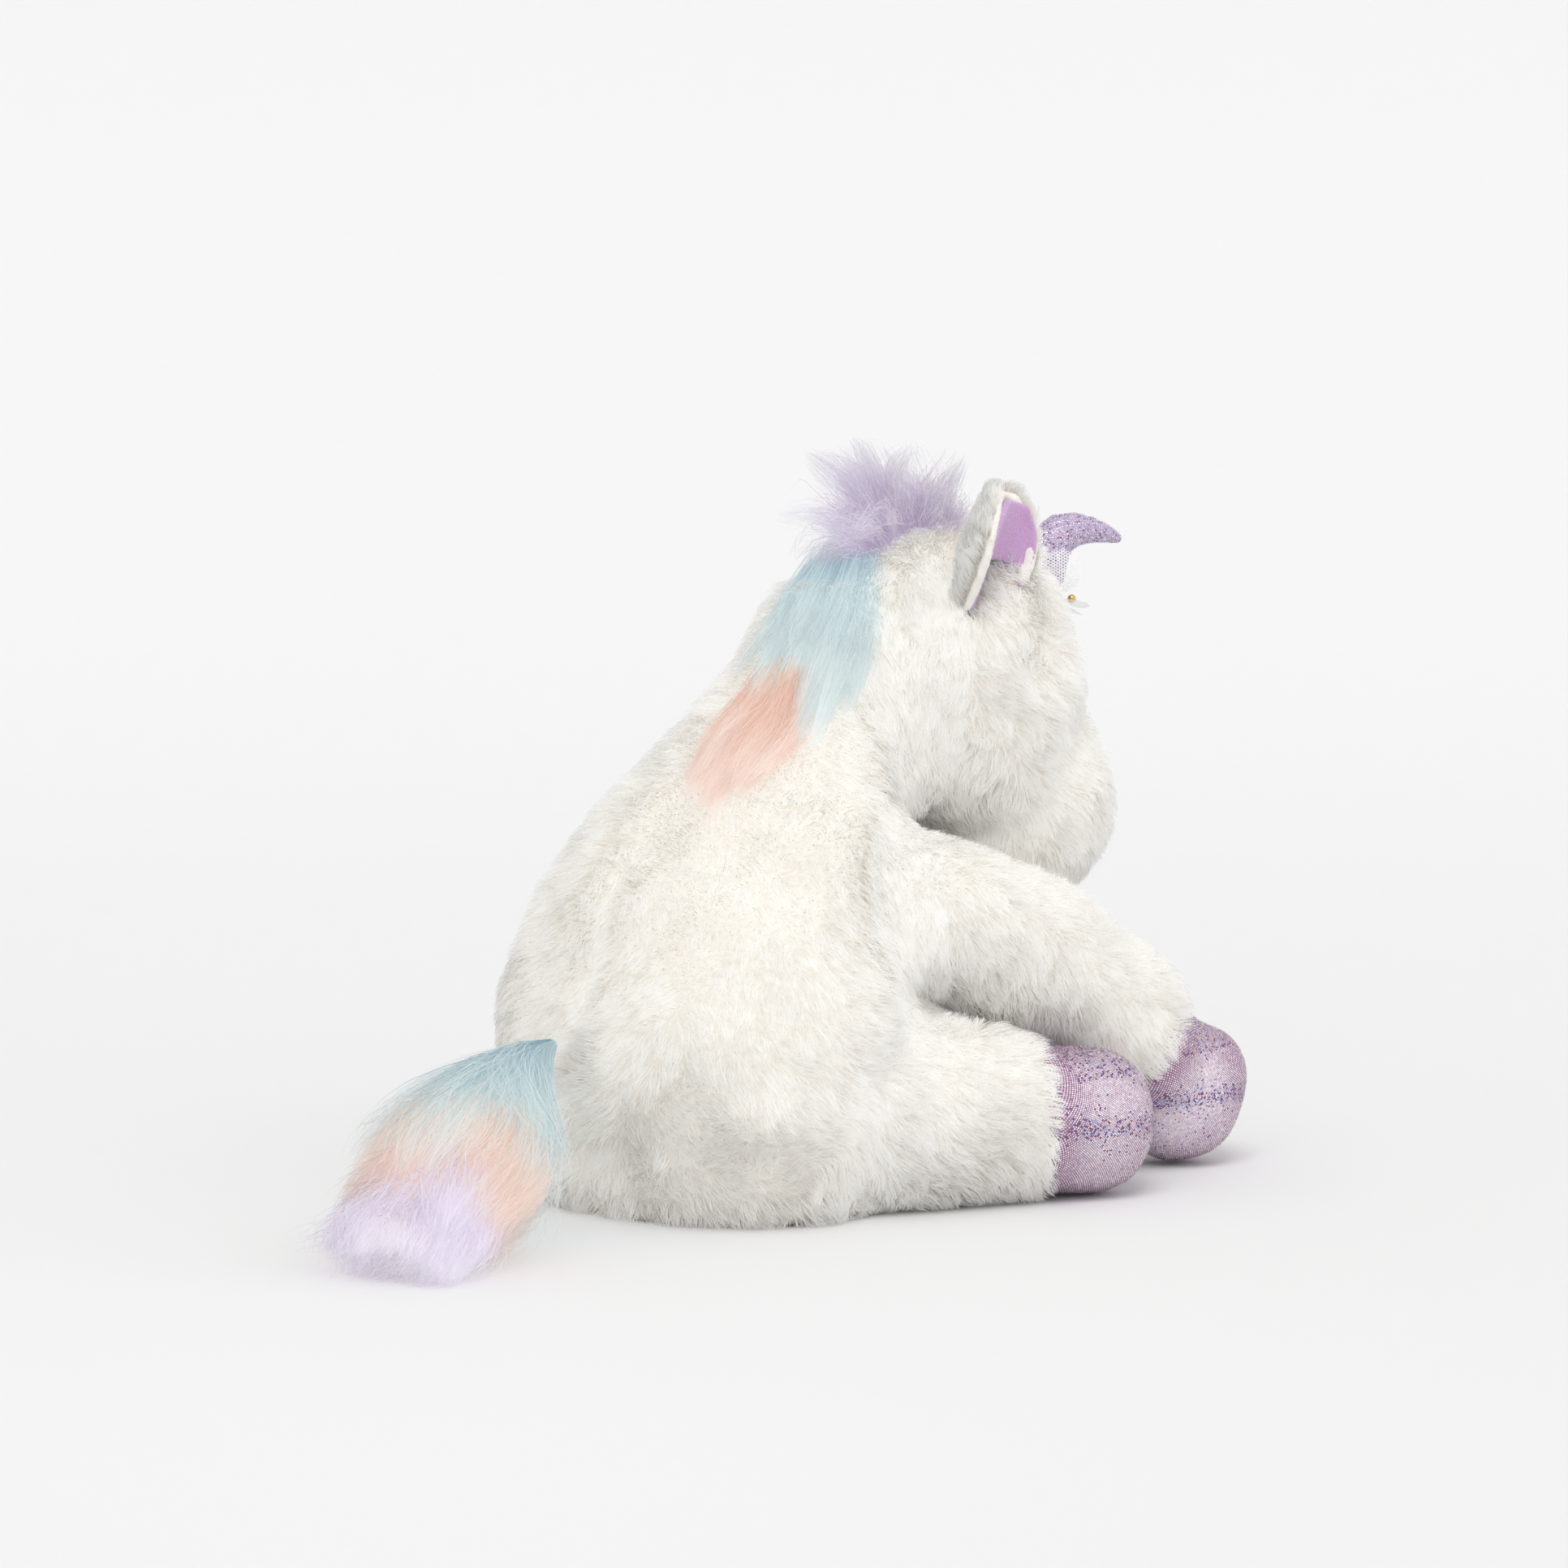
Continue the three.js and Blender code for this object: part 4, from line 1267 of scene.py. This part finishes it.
def rotated(points, axis, angle):
    x, y, z = points[:, 0], points[:, 1], points[:, 2]
    c, s = math.cos(angle), math.sin(angle)
    if axis == "x":
        return np.stack([x, c * y - s * z, s * y + c * z], 1)
    return np.stack([c * x - s * y, s * x + c * y, z], 1)


def petal_reach(share, half_width):
    """A petal's half-width at a share of its length."""
    return half_width * np.sin(math.pi * (0.16 + 0.77 * share))


def petal_place(flat, turn, tilt, length, half_width):
    """Points of a flat petal, across and along, bent and set round the horn's foot."""
    wide, along = flat.T
    share = np.clip(along / length, 0, 1)
    cup = 0.12 * length * np.sin(math.pi * share)
    edge = petal_reach(share, half_width) + 1
    points = np.stack([wide, -0.6 * cup + 0.1 * wide**2 / edge, along], 1)
    points = rotated(points, "x", tilt) + [0, -PETAL_RING, 2]
    points = rotated(rotated(points, "z", turn), "x", HORN_LEAN)
    return np.stack([from_head(x, HORN_FOOT[1] - y, z + HORN_FOOT[2]) for x, y, z in points])


for node, turn, tilt, length, half_width, cell in PETALS:
    angle = SIXTHS + math.pi / 6
    ring = np.stack([np.cos(angle), np.sin(angle)], 1) * cell
    cells = []
    for j in range(1, int(length / (1.5 * cell))):
        reach = petal_reach(min(j * 1.5 * cell / length, 1), half_width) + 0.6
        for i in range(-40, 41):
            centre = np.array([(i + 0.5 * (j % 2)) * math.sqrt(3) * cell, j * 1.5 * cell])
            if abs(centre[0]) < reach:
                cells.append(np.concatenate([centre + ring, centre + NET_OPENING * ring]))
    points = petal_place(np.concatenate(cells), turn, tilt, length, half_width)
    points = points.reshape(len(cells), 12, 3)
    clear = np.array([(head.depth(one) < -PETAL_CLEARANCE).all() for one in points])
    points = points[clear]
    quads = np.array([[k, (k + 1) % 6, 6 + (k + 1) % 6, 6 + k] for k in range(6)])
    faces = (quads[None] + 12 * np.arange(len(points))[:, None, None]).reshape(-1, 4)
    net = mesh_object(f"{node}_net", points.reshape(-1, 3), faces, net_white)
    settle(net, "net_and_tulle", node, body="head")
    threads = len(points) * 1.5 * math.sqrt(3) * cell**2 * (1 - NET_OPENING**2)

# ---- nostril stitches ----
stitch_lilac = cloth_material(
    "stitch_lilac", (196, 168, 206), (164, 134, 178), 900, 0.1, roughness=0.5, sheen=0.3
)
STITCHES = 9
STITCH_REACH, STITCH_HEIGHT, STITCH_RADIUS = 3.4, 2.4, 0.38
for side_name, side in SIDES:
    place, way = NOSTRILS[side]
    sideways = unit(np.cross(way, UP))
    upward = unit(np.cross(sideways, way))
    step = np.linspace(-1, 1, 7)[:, None]
    threads = []
    for k in range(STITCHES):
        s = (k + 0.5) / STITCHES * 2 - 1
        centre = place + sideways * STITCH_REACH * s
        tall = STITCH_HEIGHT * math.sqrt(1 - 0.8 * s * s)
        threads.append(centre + upward * tall * step + way * (1.4 - step**2))
    ring = np.cos(SIXTHS)[:, None] * sideways + np.sin(SIXTHS)[:, None] * way
    points = (np.array(threads)[:, :, None] + STITCH_RADIUS * ring).reshape(-1, 3)
    tube = [
        [6 * r + k, 6 * r + (k + 1) % 6, 6 * r + 6 + (k + 1) % 6, 6 * r + 6 + k]
        for r in range(6)
        for k in range(6)
    ]
    faces = (np.array(tube)[None] + 42 * np.arange(STITCHES)[:, None, None]).reshape(-1, 4)
    stitches = mesh_object(f"nostril_{side_name}_stitches", points, faces, stitch_lilac)
    settle(stitches, "lilac_velour", body="head")

# ---- blank care label ----
LABEL_TOP = (113.2, 6, 54)
LABEL_WIDTH = 22
LABEL_LENGTH = 36
LABEL_FLARE = 9
LABEL_CLEARANCE = 5.5  # the label lies on the fur, not in it
LABEL_ROWS, LABEL_COLUMNS = 18, 10
label_white = cloth_material(
    "label_white", (250, 250, 249), (240, 240, 238), 1200, 0.05, roughness=0.6, sheen=0.2
)
u, v = np.meshgrid(np.linspace(0, 1, LABEL_COLUMNS), np.linspace(0, 1, LABEL_ROWS))
curve = LABEL_FLARE * v**0.8 + 0.7 * np.sin(3.2 * v + 2.2 * u)
steps = [curve, (u - 0.5) * LABEL_WIDTH, -LABEL_LENGTH * 0.96 * v]
label_points = (np.array(LABEL_TOP) + np.stack(steps, -1)).reshape(-1, 3)
corner = np.arange(LABEL_ROWS - 1)[:, None] * LABEL_COLUMNS + np.arange(LABEL_COLUMNS - 1)
corners = [corner, corner + LABEL_COLUMNS, corner + LABEL_COLUMNS + 1, corner + 1]
label_faces = np.stack(corners, -1).reshape(-1, 4)
for surface in (torso, LIMBS["hind_leg_left"]["surface"], LIMBS["front_leg_left"]["surface"]):
    short = np.clip(LABEL_CLEARANCE - surface.outside(label_points)[0], 0, None).max()
    label_points = label_points + [short, 0, 0]
label = mesh_object("care_label_cloth", label_points, label_faces, label_white)
settle(label, "plain_cloth", "care_label", body="torso")

# ---- floor, light ----
FLOOR_GREY = (0.8, 0.8, 0.8)
FLOOR_REACH, FLOOR_NEAR, FLOOR_FAR = 6000, -5000, 1500
BACKDROP_BEND, BACKDROP_HEIGHT, BEND_STEPS = 2500, 4000, 16
floor_material, _, _ = material(
    "floor", Base_Color=FLOOR_GREY, Roughness=1.0, Specular_IOR_Level=0.0
)


def make_floor():
    """A floor that curves up into a backdrop behind the toy, seen from the camera."""
    profile = [(FLOOR_NEAR, 0), (0, 0), (FLOOR_FAR, 0)]
    for i in range(1, BEND_STEPS + 1):
        angle = i / BEND_STEPS * math.pi / 2
        far, high = math.sin(angle), 1 - math.cos(angle)
        profile.append((FLOOR_FAR + BACKDROP_BEND * far, BACKDROP_BEND * high))
    profile.append((FLOOR_FAR + BACKDROP_BEND, BACKDROP_BEND + BACKDROP_HEIGHT))
    points = [
        -TO_CAMERA * d + TO_RIGHT * s + h * UP
        for d, h in profile
        for s in (-FLOOR_REACH, FLOOR_REACH)
    ]
    first = 2 * np.arange(len(profile) - 1)[:, None]
    mesh_object("floor", np.array(points), first + [0, 1, 3, 2], floor_material)


make_floor()


def from_camera(left, up):
    """The way to a light, degrees to the camera's left and degrees up, seen from the toy."""
    side, rise = math.radians(left), math.radians(up)
    level = -TO_RIGHT * math.sin(side) + TO_CAMERA * math.cos(side)
    return level * math.cos(rise) + UP * math.sin(rise)


def soft_sun(name, left, up, strength, softness):
    """Broad light from a direction."""
    data = bpy.data.lights.new(name, "SUN")
    data.angle = math.radians(softness)
    data.energy = strength
    aimed(added(name, data), from_camera(left, up), (0, 0, 0))


def soft_box(name, aim, left, up, distance, size, energy):
    """A round soft box that looks at a place from a direction."""
    data = bpy.data.lights.new(name, "AREA")
    data.shape, data.size, data.energy = "DISK", size * MM, energy
    aimed(added(name, data), np.array(aim) + distance * from_camera(left, up), aim)


soft_sun("key", 5, 58, 1.16, 30)
soft_sun("fill", -75, 30, 0.52, 80)
soft_box("soft_box", (-113, -130, 45), 25, 37, 1000, 260, 0.3)

WORLD_STRENGTH = 0.68
world = bpy.data.worlds.new("studio")
world.use_nodes = True
background = world.node_tree.nodes["Background"]
background.inputs["Color"].default_value = (1, 1, 1, 1)
background.inputs["Strength"].default_value = WORLD_STRENGTH
bpy.context.scene.world = world
bpy.context.scene.view_settings.view_transform = "Standard"
